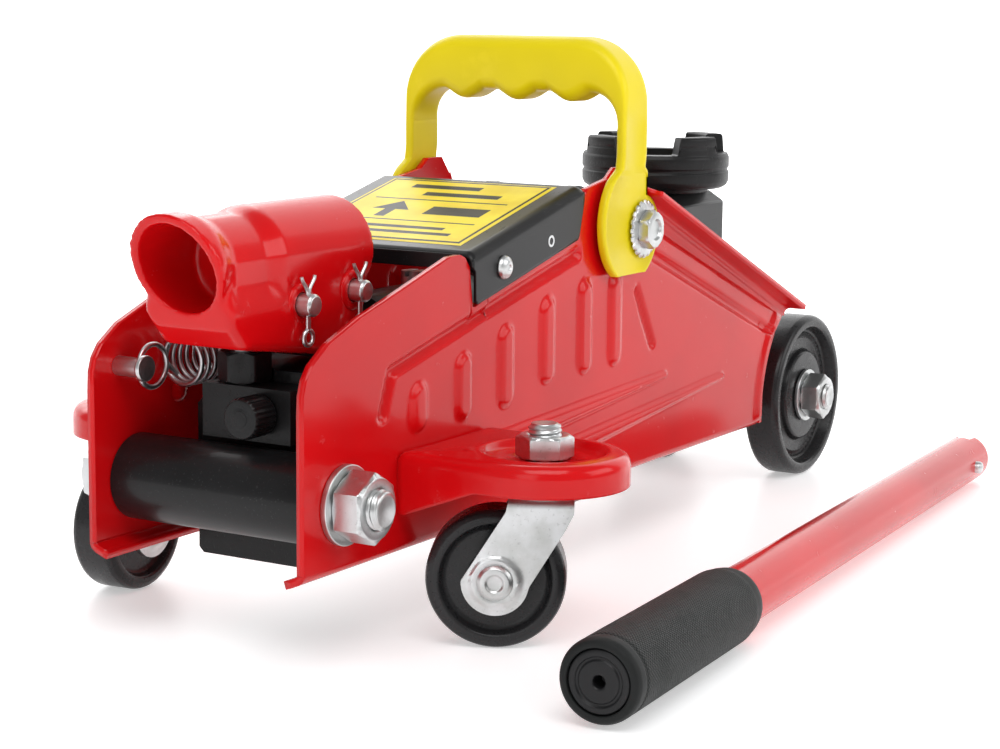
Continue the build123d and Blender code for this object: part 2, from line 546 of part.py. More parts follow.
def arch_solid(half, top, corner, depth):
    face = Plane.YZ.offset(CARRY_X - depth / 2) * handle_outline(half, top, corner)
    return extrude(face, amount=depth)


carry = arch_solid(CARRY_OUTER, CARRY_TOP, 25, 2 * CARRY_HALF)
carry -= arch_solid(CARRY_INNER, CARRY_TOP - CARRY_BAR, 14, 2 * CARRY_HALF + 2)
for y in (-25, 0, 25):
    bump = rod((CARRY_X - CARRY_HALF, y, 199.5), (CARRY_X + CARRY_HALF, y, 199.5), 13.5)
    carry += bump & block(0, 200, -60, 60, 185, 200)
lug = rod((61.5, CARRY_INNER, 138), (61.5, CARRY_OUTER, 138), 24.5) - block(0, 120, 0, 60, 100, 117)
flange_clear = block(CARRY_X + CARRY_HALF, 100, 40, 60, 136, 200)
flange_clear -= rod((PIVOT_X, 30, PIVOT_Z), (PIVOT_X, 70, PIVOT_Z), LUG_FRONT_RADIUS)
lug -= flange_clear
carry += both_sides(lug)
carry -= rod((PIVOT_X, -60, PIVOT_Z), (PIVOT_X, 60, PIVOT_Z), CARRY_BOLT + RUN)
parts["carry_handle"] = carry
parts["carry_washers"] = both_sides(
    rod((PIVOT_X, PLATE_OUTER, PIVOT_Z), (PIVOT_X, CARRY_INNER - GAP, PIVOT_Z), 11, CARRY_BOLT)
    + rod((PIVOT_X, CARRY_OUTER + GAP, PIVOT_Z), (PIVOT_X, CARRY_OUTER + 1.8, PIVOT_Z), 11.5, CARRY_BOLT))
bolt = rod((PIVOT_X, 31, PIVOT_Z), (PIVOT_X, CARRY_OUTER + 1.8, PIVOT_Z), CARRY_BOLT)
parts["carry_bolts"] = both_sides(
    bolt + hexagon((PIVOT_X, CARRY_OUTER + 1.8, PIVOT_Z), (PIVOT_X, CARRY_OUTER + 6.5, PIVOT_Z), 14))


# ---- Return spring and its anchor pin, on the left of the ram ----
SPRING_Y = 33.0
SPRING_Z = 98.0
COIL_REAR, COIL_FRONT = -126.0, -66.0
COIL_RADIUS = 9.0
WIRE_RADIUS = 1.0
COIL_TURNS = 15
ANCHOR_X = -144.0


def return_spring():
    """Helical tension spring along X, with a plain wire stem at each end."""
    length = COIL_FRONT - COIL_REAR
    helix = Helix(pitch=length / COIL_TURNS, height=length, radius=COIL_RADIUS)
    start = helix @ 0
    section = Plane(origin=start, z_dir=helix % 0) * Circle(WIRE_RADIUS)
    coil = Pos(COIL_REAR, SPRING_Y, SPRING_Z) * Rot(0, 90, 0) * sweep(section, path=helix, is_frenet=True)
    low = SPRING_Z - COIL_RADIUS
    front = rod((COIL_FRONT, SPRING_Y, low), (DRIVE_X - 5.5, SPRING_Y, RAM_Z), WIRE_RADIUS)
    rear = rod((COIL_REAR, SPRING_Y, low), (ANCHOR_X + 4.5, SPRING_Y, SPRING_Z), WIRE_RADIUS)
    return Compound(coil.solids() + front.solids() + rear.solids())


parts["return_spring"] = return_spring()
parts["spring_anchor_pin"] = rod((ANCHOR_X, SPRING_Y - 3, SPRING_Z), (ANCHOR_X, PLATE_INNER, SPRING_Z), 3.5)


# ---- Pump handle: tube, grip, end cap and snap button ----
REAR, FRONT = Vector(*HANDLE_REAR), Vector(*HANDLE_FRONT)
HANDLE_DIRECTION = (FRONT - REAR).normalized()
HANDLE_LENGTH = (FRONT - REAR).length
HANDLE_FRAME = Plane(origin=REAR, z_dir=HANDLE_DIRECTION, x_dir=Vector(0, 1, 0))


def along_handle(t0, t1, radius, hole=0.0):
    """Round bar or tube on the pump handle's axis, between two distances from its grip end."""
    return rod(tuple(REAR + HANDLE_DIRECTION * t0), tuple(REAR + HANDLE_DIRECTION * t1), radius, hole)


tube = along_handle(4, HANDLE_LENGTH, HANDLE_RADIUS, HANDLE_BORE)
tube -= HANDLE_FRAME * Pos(0, 0, HANDLE_LENGTH - 4) * Box(7, 40, 10)
BUTTON_T = HANDLE_LENGTH - 22       # along the handle, from its grip end
BUTTON_RADIUS = 2.8
BUTTON_SIDE = Vector(HANDLE_DIRECTION.Y, -HANDLE_DIRECTION.X, 0).normalized()
button_root = REAR + HANDLE_DIRECTION * BUTTON_T + BUTTON_SIDE * 2
button_tip = button_root + BUTTON_SIDE * (HANDLE_RADIUS + 3)
tube -= rod(tuple(button_root), tuple(button_tip), BUTTON_RADIUS + RUN)
parts["handle_tube"] = tube
parts["handle_button"] = rod(tuple(button_root), tuple(button_tip), BUTTON_RADIUS)
grip = along_handle(0, GRIP_LENGTH, GRIP_RADIUS, HANDLE_RADIUS)
grip = fillet(grip.edges().filter_by(GeomType.CIRCLE).group_by(SortBy.RADIUS)[-1], 2)
parts["handle_grip"] = grip
cap = along_handle(0.5, 4, HANDLE_RADIUS) + along_handle(4, 14, HANDLE_BORE)
parts["grip_end_cap"] = cap - along_handle(-5, 20, 2)


# ---- Origin at the centre of the footprint, then one file for each node ----
def footprint_centre():
    """Centre of the whole object's box in X and Y, and its lowest Z."""
    boxes = [shape.bounding_box() for shape in parts.values()]
    low = [min(getattr(box.min, a) for box in boxes) for a in "XYZ"]
    high = [max(getattr(box.max, a) for box in boxes) for a in "XYZ"]
    return (low[0] + high[0]) / 2, (low[1] + high[1]) / 2, low[2]


CENTRE = footprint_centre()
TO_ORIGIN = Pos(-CENTRE[0], -CENTRE[1], -CENTRE[2])

os.makedirs("parts", exist_ok=True)
for node, shape in parts.items():
    export_step(TO_ORIGIN * shape, f"parts/{node}.step")
print(len(parts), "nodes, footprint centre", CENTRE)
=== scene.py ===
"""Two-tonne trolley jack with a folding carry handle and a loose pump handle beside it.

Every size below is in millimetres, in the jack's own drawing frame: +X towards the saddle, +Y to its left,
+Z up, the centre plane at y = 0 and the floor at z = 0. new_piece() moves a finished shape into the row frame.
"""
import json
import math

import bpy
import numpy as np
from mathutils import Matrix, Vector


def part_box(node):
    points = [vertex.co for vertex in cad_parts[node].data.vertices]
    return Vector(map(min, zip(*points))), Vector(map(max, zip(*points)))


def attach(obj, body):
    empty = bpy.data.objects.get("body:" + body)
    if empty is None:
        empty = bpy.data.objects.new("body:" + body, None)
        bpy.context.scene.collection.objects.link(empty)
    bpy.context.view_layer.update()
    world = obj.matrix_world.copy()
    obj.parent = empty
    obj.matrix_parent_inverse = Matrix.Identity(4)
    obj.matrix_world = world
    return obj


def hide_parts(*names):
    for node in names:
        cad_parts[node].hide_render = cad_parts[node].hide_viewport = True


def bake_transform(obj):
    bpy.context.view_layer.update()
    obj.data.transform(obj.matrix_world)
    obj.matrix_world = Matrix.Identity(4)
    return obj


bl_info = {
    "name": "Trolley jack looks",
    "version": (1, 0, 0),
    "blender": (4, 5, 0),
    "location": "View3D > Sidebar > Trolley jack",
    "description": "Builds the visible pieces, finishes, floor and lights of a trolley jack around its packed model",
    "category": "Add Mesh",
}

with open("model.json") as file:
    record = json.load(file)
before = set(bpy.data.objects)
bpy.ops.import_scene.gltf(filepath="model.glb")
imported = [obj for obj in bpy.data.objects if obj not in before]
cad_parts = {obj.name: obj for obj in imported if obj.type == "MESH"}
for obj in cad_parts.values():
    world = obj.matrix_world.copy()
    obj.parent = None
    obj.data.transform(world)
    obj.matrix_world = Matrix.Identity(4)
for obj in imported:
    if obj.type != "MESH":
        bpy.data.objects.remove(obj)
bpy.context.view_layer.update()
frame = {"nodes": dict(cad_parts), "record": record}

# ---- Sizes shared by the pieces ----
PIVOT = (70.0, 135.0)
SHAFT_LOW, SHAFT_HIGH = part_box("lift_shaft")
SHIFT = np.array((SHAFT_LOW + SHAFT_HIGH) / 2) * 1000 - np.array((PIVOT[0], 0.0, PIVOT[1]))
PLATE_OUTER = 46.3
PLATE_GAUGE = 3.0
FRONT_AXLE = (262.0, 38.7)
ARCH_RADIUS = 60.0
CASTER_PIVOT = (-71.0, 88.5)
CASTER_TRAIL = 16.5
CASTER_RADIUS = 25.0
CASTER_TURNS = {"left": 184.0, "right": 118.0}
SADDLE_X = 182.0
SOCKET_PINS = ((-89.5, 123.8), (-121.0, 122.0))
HANDLE_REAR = np.array((-148.6, -153.2, 15.65))
HANDLE_FRONT = np.array((289.8, -115.6, 11.0))
HANDLE_AXIS = (HANDLE_FRONT - HANDLE_REAR) / np.linalg.norm(HANDLE_FRONT - HANDLE_REAR)
HANDLE_LENGTH = float(np.linalg.norm(HANDLE_FRONT - HANDLE_REAR))
SIDES = {"left": 1, "right": -1}


# ---- Shapes as functions of two parameters ----
def grid_faces(rows, cols, wrap_rows=False, wrap_cols=False):
    """Four-cornered faces between neighbouring points of a rows x cols grid."""
    i = np.arange(rows if wrap_rows else rows - 1)[:, None]
    j = np.arange(cols if wrap_cols else cols - 1)[None, :]
    below, right = (i + 1) % rows, (j + 1) % cols
    corners = (i * cols + j, below * cols + j, below * cols + right, i * cols + right)
    return np.stack(np.broadcast_arrays(*corners), -1).reshape(-1, 4)


def surface(points, wrap_rows=False, wrap_cols=False):
    """A grid of points, rows x cols x 3, as (vertices, faces)."""
    rows, cols = points.shape[:2]
    return points.reshape(-1, 3), grid_faces(rows, cols, wrap_rows, wrap_cols)


def smoothstep(x, low, high):
    """0 below low, 1 above high, and 3t^2 - 2t^3 between them."""
    t = np.clip((np.asarray(x, float) - low) / (high - low), 0, 1)
    return t * t * (3 - 2 * t)


def across(direction):
    """Two unit vectors square to a direction and to each other."""
    d = np.asarray(direction, float)
    d = d / np.linalg.norm(d)
    helper = np.array((0.0, 0.0, 1.0)) if abs(d[2]) < 0.9 else np.array((1.0, 0.0, 0.0))
    a = np.cross(helper, d)
    a = a / np.linalg.norm(a)
    return a, np.cross(d, a), d


def softened(profile, radius, steps=4):
    """A closed or open polyline of (t, r) with each inner corner replaced by a quadratic arc that starts and
    ends at most `radius` from it: B(s) = (1-s)^2 A + 2s(1-s) C + s^2 E for corner C."""
    p = np.asarray(profile, float)
    before, after = p[:-2] - p[1:-1], p[2:] - p[1:-1]
    reach_b = np.linalg.norm(before, axis=1, keepdims=True) + 1e-9
    reach_a = np.linalg.norm(after, axis=1, keepdims=True) + 1e-9
    start = p[1:-1] + before / reach_b * np.minimum(radius, reach_b * 0.45)
    end = p[1:-1] + after / reach_a * np.minimum(radius, reach_a * 0.45)
    s = np.linspace(0, 1, steps + 1)[None, :, None]
    arcs = (1 - s) ** 2 * start[:, None] + 2 * s * (1 - s) * p[1:-1][:, None] + s ** 2 * end[:, None]
    return np.vstack((p[:1], arcs.reshape(-1, 2), p[-1:]))


def turned(profile, start, direction, segments=96, radius_factor=None):
    """Surface of revolution: P(k, phi) = start + t_k d + r_k f(k, phi) (cos phi a + sin phi b), where (t, r) are
    the profile's points and f is 1 or the factor given."""
    a, b, d = across(direction)
    p = np.asarray(profile, float)
    phi = np.linspace(0, 2 * np.pi, segments, endpoint=False)
    radius = p[:, 1][:, None] * (np.ones((len(p), segments)) if radius_factor is None else radius_factor(p, phi))
    ring = np.cos(phi)[:, None] * a + np.sin(phi)[:, None] * b
    points = np.asarray(start, float) + p[:, 0][:, None, None] * d + radius[..., None] * ring[None]
    return surface(points, wrap_cols=True)


def bar(start, end, radius, soft=0.6, segments=64, bore=0.0):
    """Round bar between two points with softened ends, or a tube if it has a bore."""
    length = float(np.linalg.norm(np.subtract(end, start)))
    if bore:
        outline = [(length / 2, bore), (0, bore), (0, radius), (length, radius), (length, bore), (length / 2, bore)]
    else:
        outline = [(0, 0), (0, radius), (length, radius), (length, 0)]
    return turned(softened(outline, soft), start, np.subtract(end, start), segments)


def swept(path, radius, side, sections=12, closed=False):
    """Round wire: P(k, phi) = path_k + r (cos phi n_k + sin phi b_k), with b the tangent crossed with the side
    vector given for each point and n square to both."""
    tangent = np.gradient(path, axis=0) if not closed else np.roll(path, -1, 0) - np.roll(path, 1, 0)
    tangent /= np.linalg.norm(tangent, axis=1, keepdims=True)
    b = np.cross(tangent, side)
    b /= np.linalg.norm(b, axis=1, keepdims=True)
    n = np.cross(b, tangent)
    phi = np.linspace(0, 2 * np.pi, sections, endpoint=False)
    radius = np.broadcast_to(np.asarray(radius, float), (len(path),))[:, None, None]
    points = path[:, None] + radius * (np.cos(phi)[None, :, None] * n[:, None] + np.sin(phi)[None, :, None] * b[:, None])
    if not closed:
        first = np.broadcast_to(path[:1, None], (1, sections, 3))
        last = np.broadcast_to(path[-1:, None], (1, sections, 3))
        points = np.concatenate((first, points, last))
    return surface(points, wrap_rows=closed, wrap_cols=True)


def ring_wire(centre, radius, wire, normal, turn=(0.0, 360.0), count=64):
    """Wire bent to a circle or part of one about a centre, in the plane square to the normal."""
    a, b, d = across(normal)
    whole = abs(turn[1] - turn[0]) >= 360
    angle = np.radians(np.linspace(turn[0], turn[1], count, endpoint=not whole))[:, None]
    path = np.asarray(centre, float) + radius * (np.cos(angle) * a + np.sin(angle) * b)
    return swept(path, wire, np.broadcast_to(d, path.shape), closed=whole)


def hexagon_factor(flats, slope=0.58):
    """Radius factor that turns a profile drawn at the corner radius into a hexagon with chamfered corners:
    r = min(corner radius, flats / 2 / cos(phi folded into 60 degrees))."""
    def factor(profile, phi):
        folded = (phi + math.pi / 6) % (math.pi / 3) - math.pi / 6
        flat = flats / 2 / np.cos(folded)
        r = profile[:, 1][:, None]
        return np.where(r > flats * 0.36, np.minimum(r, flat[None]) / np.maximum(r, 1e-9), 1.0)
    return factor


def hex_nut(start, direction, flats, height, bore):
    """Hexagonal nut with both faces turned conical, a countersunk bore and a bearing face."""
    corner, cone = flats * 0.5774, flats * 0.475
    outline = [(height / 2, bore), (0.8, bore), (0.0, bore + 0.9), (0, cone), (flats * 0.045, corner), (height * 0.5, corner),
               (height - flats * 0.06, corner), (height, cone), (height, bore + 0.9), (height - 0.8, bore), (height / 2, bore)]
    return turned(softened(outline, 0.35, 2), start, direction, 144, hexagon_factor(flats))


def threaded(start, end, radius, pitch=1.5, depth=0.55):
    """Screw thread: the radius at height t and angle phi is R - depth (0.5 + 0.5 cos 2 pi (t / pitch - phi / 2 pi)),
    fading to a plain chamfer at the free end."""
    length = float(np.linalg.norm(np.subtract(end, start)))
    t = np.linspace(0, length, max(int(length / pitch * 8), 8))
    edge = np.interp(t, (0, length - 1.2, length), (radius, radius, radius - 1.1))
    profile = np.vstack(((0, 0), np.column_stack((t, edge)), (length, radius - 2.2), (length - 0.6, radius * 0.35), (length - 0.6, 0)))

    def factor(p, phi):
        wave = 0.5 + 0.5 * np.cos(2 * np.pi * (p[:, 0][:, None] / pitch - phi[None] / (2 * np.pi)))
        cut = depth * wave * (p[:, 1][:, None] > radius - 1.5)
        return 1 - cut / np.maximum(p[:, 1][:, None], 1e-6)
    return turned(profile, start, np.subtract(end, start), 48, factor)


def mirrored(shape, side):
    """The shape, reflected in the centre plane for the right-hand side."""
    vertices, faces = shape
    return (vertices, faces) if side > 0 else (vertices * (1, -1, 1), faces[:, ::-1])


def combined(shapes):
    """Several (vertices, faces) as one."""
    counts = np.cumsum([0] + [len(v) for v, _ in shapes])
    return np.vstack([v for v, _ in shapes]), [face for (_, f), n in zip(shapes, counts) for face in (np.asarray(f) + n).tolist()]


def new_piece(name, shapes, body, slot, replaces=(), sharp=38.0, solidify=0.0, bevel=0.0, smooth=0):
    """Joins shapes into one object in the row frame, closes seams and poles, turns every shell's faces outwards,
    and gives it its finish and the body it rides on, and hides the CAD nodes it stands for."""
    vertices, faces = combined(shapes)
    mesh = bpy.data.meshes.new(name)
    mesh.from_pydata(((vertices + SHIFT) / 1000).tolist(), [], faces)
    closed_up(mesh)
    piece = bpy.data.objects.new(name, mesh)
    bpy.context.scene.collection.objects.link(piece)
    if solidify:
        wall = piece.modifiers.new("Wall", "SOLIDIFY")
        wall.thickness, wall.offset = solidify / 1000, -1
    if bevel:
        edge = piece.modifiers.new("Edges", "BEVEL")
        edge.width, edge.segments, edge.limit_method, edge.angle_limit = bevel / 1000, 3, "ANGLE", math.radians(35)
    if smooth:
        soft = piece.modifiers.new("Soft", "SUBSURF")
        soft.levels = soft.render_levels = smooth
    shade(mesh, sharp)
    return dress(piece, body, slot, replaces)


def closed_up(mesh, reach=1e-5):
    """Merges coincident points, drops faces with no area and turns faces outwards."""
    import bmesh
    work = bmesh.new()
    work.from_mesh(mesh)
    bmesh.ops.remove_doubles(work, verts=work.verts, dist=reach)
    bmesh.ops.dissolve_degenerate(work, dist=1e-7, edges=work.edges)
    bmesh.ops.recalc_face_normals(work, faces=work.faces)
    work.to_mesh(mesh)
    work.free()


def shade(mesh, sharp):
    """Smooth shading, broken at edges that turn by more than the angle given in degrees."""
    mesh.shade_smooth()
    mesh.set_sharp_from_angle(angle=math.radians(sharp))


def dress(piece, body, slot, replaces=()):
    """Gives a piece the material made for its slot and its body, and hides the CAD nodes it stands for."""
    piece.data.materials.clear()
    piece.data.materials.append(finish(slot))
    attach(piece, body)
    if replaces:
        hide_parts(*replaces)
    return piece


def reworked(node, body, slot, bevel=0.8, segments=2, voxel=0.0, name=None):
    """A copy of a CAD node with merged points and rounded edges: bevelled, or remeshed at a voxel size and
    smoothed where it is a casting."""
    source = frame["nodes"][node]
    mesh = source.data.copy()
    mesh.name = name or node.replace("_", "-") + "-finished"
    closed_up(mesh, 2e-6)
    piece = bpy.data.objects.new(mesh.name, mesh)
    bpy.context.scene.collection.objects.link(piece)
    if voxel:
        remesh = piece.modifiers.new("Cast", "REMESH")
        remesh.mode, remesh.voxel_size = "VOXEL", voxel / 1000
        soften = piece.modifiers.new("Soft", "SMOOTH")
        soften.factor, soften.iterations = 0.5, 6
        evaluated = piece.evaluated_get(bpy.context.evaluated_depsgraph_get())
        piece.data = bpy.data.meshes.new_from_object(evaluated)
        piece.modifiers.clear()
        piece.data.shade_smooth()
    else:
        flatten_facets(piece.data)
        edge = piece.modifiers.new("Edges", "BEVEL")
        edge.width, edge.segments, edge.limit_method, edge.angle_limit = bevel / 1000, segments, "ANGLE", math.radians(40)
        edge.use_clamp_overlap = True
        shade(piece.data, 38.0)
    return dress(piece, body, slot, (node,))


def flatten_facets(mesh):
    """Joins coplanar triangles into whole faces, so that a bevel runs along true edges only."""
    import bmesh
    work = bmesh.new()
    work.from_mesh(mesh)
    bmesh.ops.dissolve_limit(work, angle_limit=math.radians(1.0), verts=work.verts, edges=work.edges)
    work.to_mesh(mesh)
    work.free()


def join_shapes(piece, shapes):
    """Adds more closed shells, given in the drawing frame, to a piece's mesh."""
    vertices, faces = combined(shapes)
    import bmesh
    extra = bpy.data.meshes.new("extra")
    extra.from_pydata(((vertices + SHIFT) / 1000).tolist(), [], faces)
    closed_up(extra)
    extra.shade_smooth()
    extra.set_sharp_from_angle(angle=math.radians(38))
    work = bmesh.new()
    work.from_mesh(piece.data)
    work.from_mesh(extra)
    work.to_mesh(piece.data)
    work.free()
    bpy.data.meshes.remove(extra)


# ---- Finishes ----
class Value:
    """A socket that carries a number. Arithmetic on it adds Math nodes."""

    def __init__(self, shader, socket):
        self.shader, self.socket = shader, socket

    def math(self, operation, *values):
        return self.shader.add("ShaderNodeMath", {"operation": operation}, dict(enumerate(values)))

    def __add__(self, other):
        return self.math("ADD", self, other)

    def __sub__(self, other):
        return self.math("SUBTRACT", self, other)

    def __rsub__(self, other):
        return self.math("SUBTRACT", other, self)

    def __mul__(self, other):
        return self.math("MULTIPLY", self, other)

    def __truediv__(self, other):
        return self.math("DIVIDE", self, other)

    def __pow__(self, other):
        return self.math("POWER", self, other)

    __radd__ = __add__
    __rmul__ = __mul__

    def between(self, low, high):
        """0 below low, 1 above high, smooth between."""
        values = {"Value": self, "From Min": low, "From Max": high}
        return self.shader.add("ShaderNodeMapRange", {"interpolation_type": "SMOOTHSTEP"}, values)

    def inside(self, low, high):
        """1 between low and high, 0 outside."""
        return self.math("GREATER_THAN", self, low) * self.math("LESS_THAN", self, high)


class Shader:
    """A procedural material about one Principled shader."""

    def __init__(self, name, **constants):
        self.material = bpy.data.materials.new(name)
        self.material.use_nodes = True
        self.nodes, self.links = self.material.node_tree.nodes, self.material.node_tree.links
        self.surface = self.nodes["Principled BSDF"]
        for key, value in constants.items():
            self.surface.inputs[key.replace("_", " ").title().replace("Ior", "IOR")].default_value = value
        self.place = self.add("ShaderNodeTexCoord", {}, {}, "Object")

    def add(self, kind, settings, values, output=0):
        """A node of one type, with its settings first and then the values or links of its sockets."""
        node = self.nodes.new(kind)
        for key, value in settings.items():
            if key == "stops":
                ramp = node.color_ramp
                while len(ramp.elements) < len(value):
                    ramp.elements.new(0.5)
                for element, (position, colour) in zip(ramp.elements, value):
                    element.position, element.color = position, colour
            else:
                setattr(node, key, value)
        for key, value in values.items():
            if isinstance(value, Value):
                self.links.new(value.socket, node.inputs[key])
            else:
                node.inputs[key].default_value = value
        return Value(self, node.outputs[output])

    def noise(self, scale, detail=4.0, roughness=0.55, place=None):
        values = {"Vector": place or self.place, "Scale": scale, "Detail": detail, "Roughness": roughness}
        return self.add("ShaderNodeTexNoise", {}, values)

    def stretched(self, factors):
        """Object coordinates with each axis multiplied."""
        return self.add("ShaderNodeVectorMath", {"operation": "MULTIPLY"}, {0: self.place, 1: factors})

    def axis(self, name, place=None):
        return self.add("ShaderNodeSeparateXYZ", {}, {"Vector": place or self.place}, name)

    def colours(self, factor, first, second):
        """One colour blended into another."""
        settings = {"data_type": "RGBA", "clamp_factor": True}
        values = {0: factor, 6: first if isinstance(first, Value) else (*first, 1.0),
                  7: second if isinstance(second, Value) else (*second, 1.0)}
        return self.add("ShaderNodeMix", settings, values, 2)

    def bump(self, height, distance, strength=1.0):
        values = {"Height": height, "Distance": distance / 1000, "Strength": strength}
        return self.add("ShaderNodeBump", {}, values)

    def feed(self, **links):
        names = {"colour": "Base Color", "roughness": "Roughness", "metallic": "Metallic", "normal": "Normal",
                 "coat": "Coat Weight", "glow": "Emission Color"}
        for key, value in links.items():
            self.links.new(value.socket, self.surface.inputs[names[key]])
        return self.material


def enamel(name, colour, dark):
    """Baked enamel over pressed steel: slow colour drift, orange peel, fine dust and a few scuffs."""
    s = Shader(name, coat_roughness=0.1, specular_ior_level=0.22)
    drift = s.noise(9.0, 3.0)
    scuff = s.noise(140.0, 8.0, 0.7).between(0.62, 0.74)
    peel = s.noise(420.0, 2.0, 0.4)
    grit = s.noise(2600.0, 2.0, 0.5)
    body = s.colours(drift.between(0.35, 0.7), colour, dark)
    worn = s.colours(scuff * 0.14, body, tuple(min(c * 0.6 + 0.12, 1) for c in colour))
    height = peel * 0.8 + grit * 0.1
    return s.feed(colour=worn, roughness=0.13 + drift * 0.12 + scuff * 0.22, coat=0.12 - scuff * 0.1,
                  normal=s.bump(height, 0.05, 0.35))


def casting(name, colour, scale=300.0):
    """Black paint over a sand-cast surface: grains, pits and a dusty bloom on the high spots."""
    s = Shader(name, specular_ior_level=0.22)
    grain = s.noise(scale, 6.0, 0.65)
    pits = s.noise(scale * 2.2, 3.0, 0.6).between(0.3, 0.42)
    bloom = s.noise(22.0, 5.0, 0.6)
    body = s.colours(bloom.between(0.4, 0.75), colour, tuple(c * 1.8 + 0.003 for c in colour))
    return s.feed(colour=body, roughness=0.26 + bloom * 0.25 + grain * 0.1, coat=0.12 - bloom * 0.1,
                  normal=s.bump(grain * 0.7 + pits * 0.35, 0.3, 0.55))


def satin(name, colour, roughness=0.28):
    """Even satin paint with faint waviness, dust and fine scratches along the object."""
    s = Shader(name, specular_ior_level=0.22)
    cloud = s.noise(16.0, 4.0)
    dust = s.noise(900.0, 4.0, 0.7).between(0.58, 0.72)
    scratch = s.noise(90.0, 3.0, 0.5, s.stretched((0.8, 14.0, 14.0))).between(0.64, 0.7)
    body = s.colours(cloud.between(0.35, 0.75) * 0.7 + dust * 0.25, colour, tuple(c * 1.6 + 0.004 for c in colour))
    marked = s.colours(scratch * 0.3, body, tuple(c + 0.06 for c in colour))
    return s.feed(colour=marked, roughness=roughness + cloud * 0.12 + scratch * 0.2,
                  coat=0.12 - dust * 0.1, normal=s.bump(s.noise(330.0, 2.0) * 0.7 + dust * 0.1, 0.04, 0.35))


def plated(name, colour, shade_to, roughness, grain=(1.0, 1.0, 1.0)):
    """Plated or ground steel: blotchy passivation, directional polish marks and dull specks."""
    s = Shader(name, metallic=1.0, specular_ior_level=0.5)
    blotch = s.noise(70.0, 5.0, 0.6)
    specks = s.noise(700.0, 3.0, 0.6).between(0.6, 0.7)
    polish = s.noise(260.0, 3.0, 0.6, s.stretched(grain))
    body = s.colours(blotch.between(0.3, 0.72), colour, shade_to)
    spotted = s.colours(specks * 0.4, body, tuple(c * 0.45 for c in colour))
    return s.feed(colour=spotted, roughness=roughness + blotch * 0.14 + polish * 0.1,
                  metallic=1.0 - specks * 0.25, normal=s.bump(polish * 0.5 + blotch * 0.4, 0.05, 0.4))


def moulded(name, colour, shade_to, roughness, texture=500.0, depth=0.06):
    """Moulded plastic: a fine spark-eroded grain, slow colour drift, sink marks and rubbed patches."""
    s = Shader(name, specular_ior_level=0.28)
    drift = s.noise(14.0, 3.0)
    grain = s.noise(texture, 3.0, 0.6)
    rub = s.noise(60.0, 6.0, 0.65).between(0.56, 0.72)
    body = s.colours(drift.between(0.3, 0.7), colour, shade_to)
    return s.feed(colour=s.colours(rub * 0.2, body, tuple(min(c * 1.15 + 0.03, 1.0) for c in colour)),
                  roughness=roughness + grain * 0.12 - rub * 0.08, normal=s.bump(grain * 0.6 + drift * 0.5, depth, 0.5))


def grip_rubber(name):
    """Grip sleeve with a diamond knurl on its own UV map (u round it, v along it), greyed where hands rub."""
    s = Shader(name, specular_ior_level=0.25)
    uv = s.add("ShaderNodeUVMap", {"uv_map": "Around"}, {})
    u, v = s.axis("X", uv), s.axis("Y", uv)
    first = (u * 60.0 + v * 75.0).math("PINGPONG", u * 60.0 + v * 75.0, 0.5)
    second = (u * 60.0 - v * 75.0).math("PINGPONG", u * 60.0 - v * 75.0, 0.5)
    knurl = (first * second * 4.0) ** 0.6
    band = v.between(0.045, 0.06) * (1.0 - v.between(0.9, 0.93))
    rub = s.noise(45.0, 5.0, 0.6).between(0.45, 0.75)
    body = s.colours(knurl * band * (0.35 + rub * 0.5), (0.008, 0.009, 0.009), (0.052, 0.056, 0.054))
    fine = s.noise(1600.0, 3.0)
    return s.feed(colour=body, roughness=0.5 + rub * 0.15 + fine * 0.1,
                  normal=s.bump(knurl * band + fine * 0.08, 0.5, 0.85))


def label_print(name):
    """Printed film on its own UV map (u across, v along the jack): a yellow field inside black rules, with plain
    bars where lettering would be and a generic lifting arrow."""
    s = Shader(name, specular_ior_level=0.2, coat_roughness=0.2)
    uv = s.add("ShaderNodeUVMap", {"uv_map": "Print"}, {})
    u, v = s.axis("X", uv), s.axis("Y", uv)
    field = u.inside(0.035, 0.965) * v.inside(0.04, 0.96)
    rule = u.inside(0.02, 0.98) * v.inside(0.02, 0.98)
    bars = u.inside(0.2, 0.62) * v.inside(0.84, 0.9) + u.inside(0.34, 0.8) * v.inside(0.72, 0.78)
    bars = bars + u.inside(0.14, 0.86) * v.inside(0.11, 0.15) + u.inside(0.14, 0.78) * v.inside(0.19, 0.23)
    bars = bars + u.inside(0.1, 0.9) * v.inside(0.3, 0.315) + u.inside(0.1, 0.9) * v.inside(0.64, 0.655)
    arm = (u - 0.3).math("ABSOLUTE", u - 0.3)
    head = v.inside(0.47, 0.61) * arm.math("LESS_THAN", arm, (0.61 - v) * 0.8)
    arrow = head + v.inside(0.35, 0.47) * arm.math("LESS_THAN", arm, 0.032)
    plate = u.inside(0.52, 0.86) * v.inside(0.42, 0.55)
    ink = (bars + arrow + plate).math("MINIMUM", bars + arrow + plate, 1.0)
    fade = s.noise(60.0, 4.0)
    yellow = s.colours(fade.between(0.3, 0.7), (0.88, 0.70, 0.015), (0.78, 0.58, 0.012))
    printed = s.colours(ink, yellow, (0.012, 0.012, 0.012))
    framed = s.colours(field, (0.012, 0.012, 0.012), printed)
    edged = s.colours(rule, (0.80, 0.62, 0.02), framed)
    return s.feed(colour=edged, roughness=0.36 + fade * 0.15, coat=0.04 + fade * 0.06,
                  normal=s.bump(s.noise(240.0, 3.0) + ink * 0.4, 0.02, 0.4))


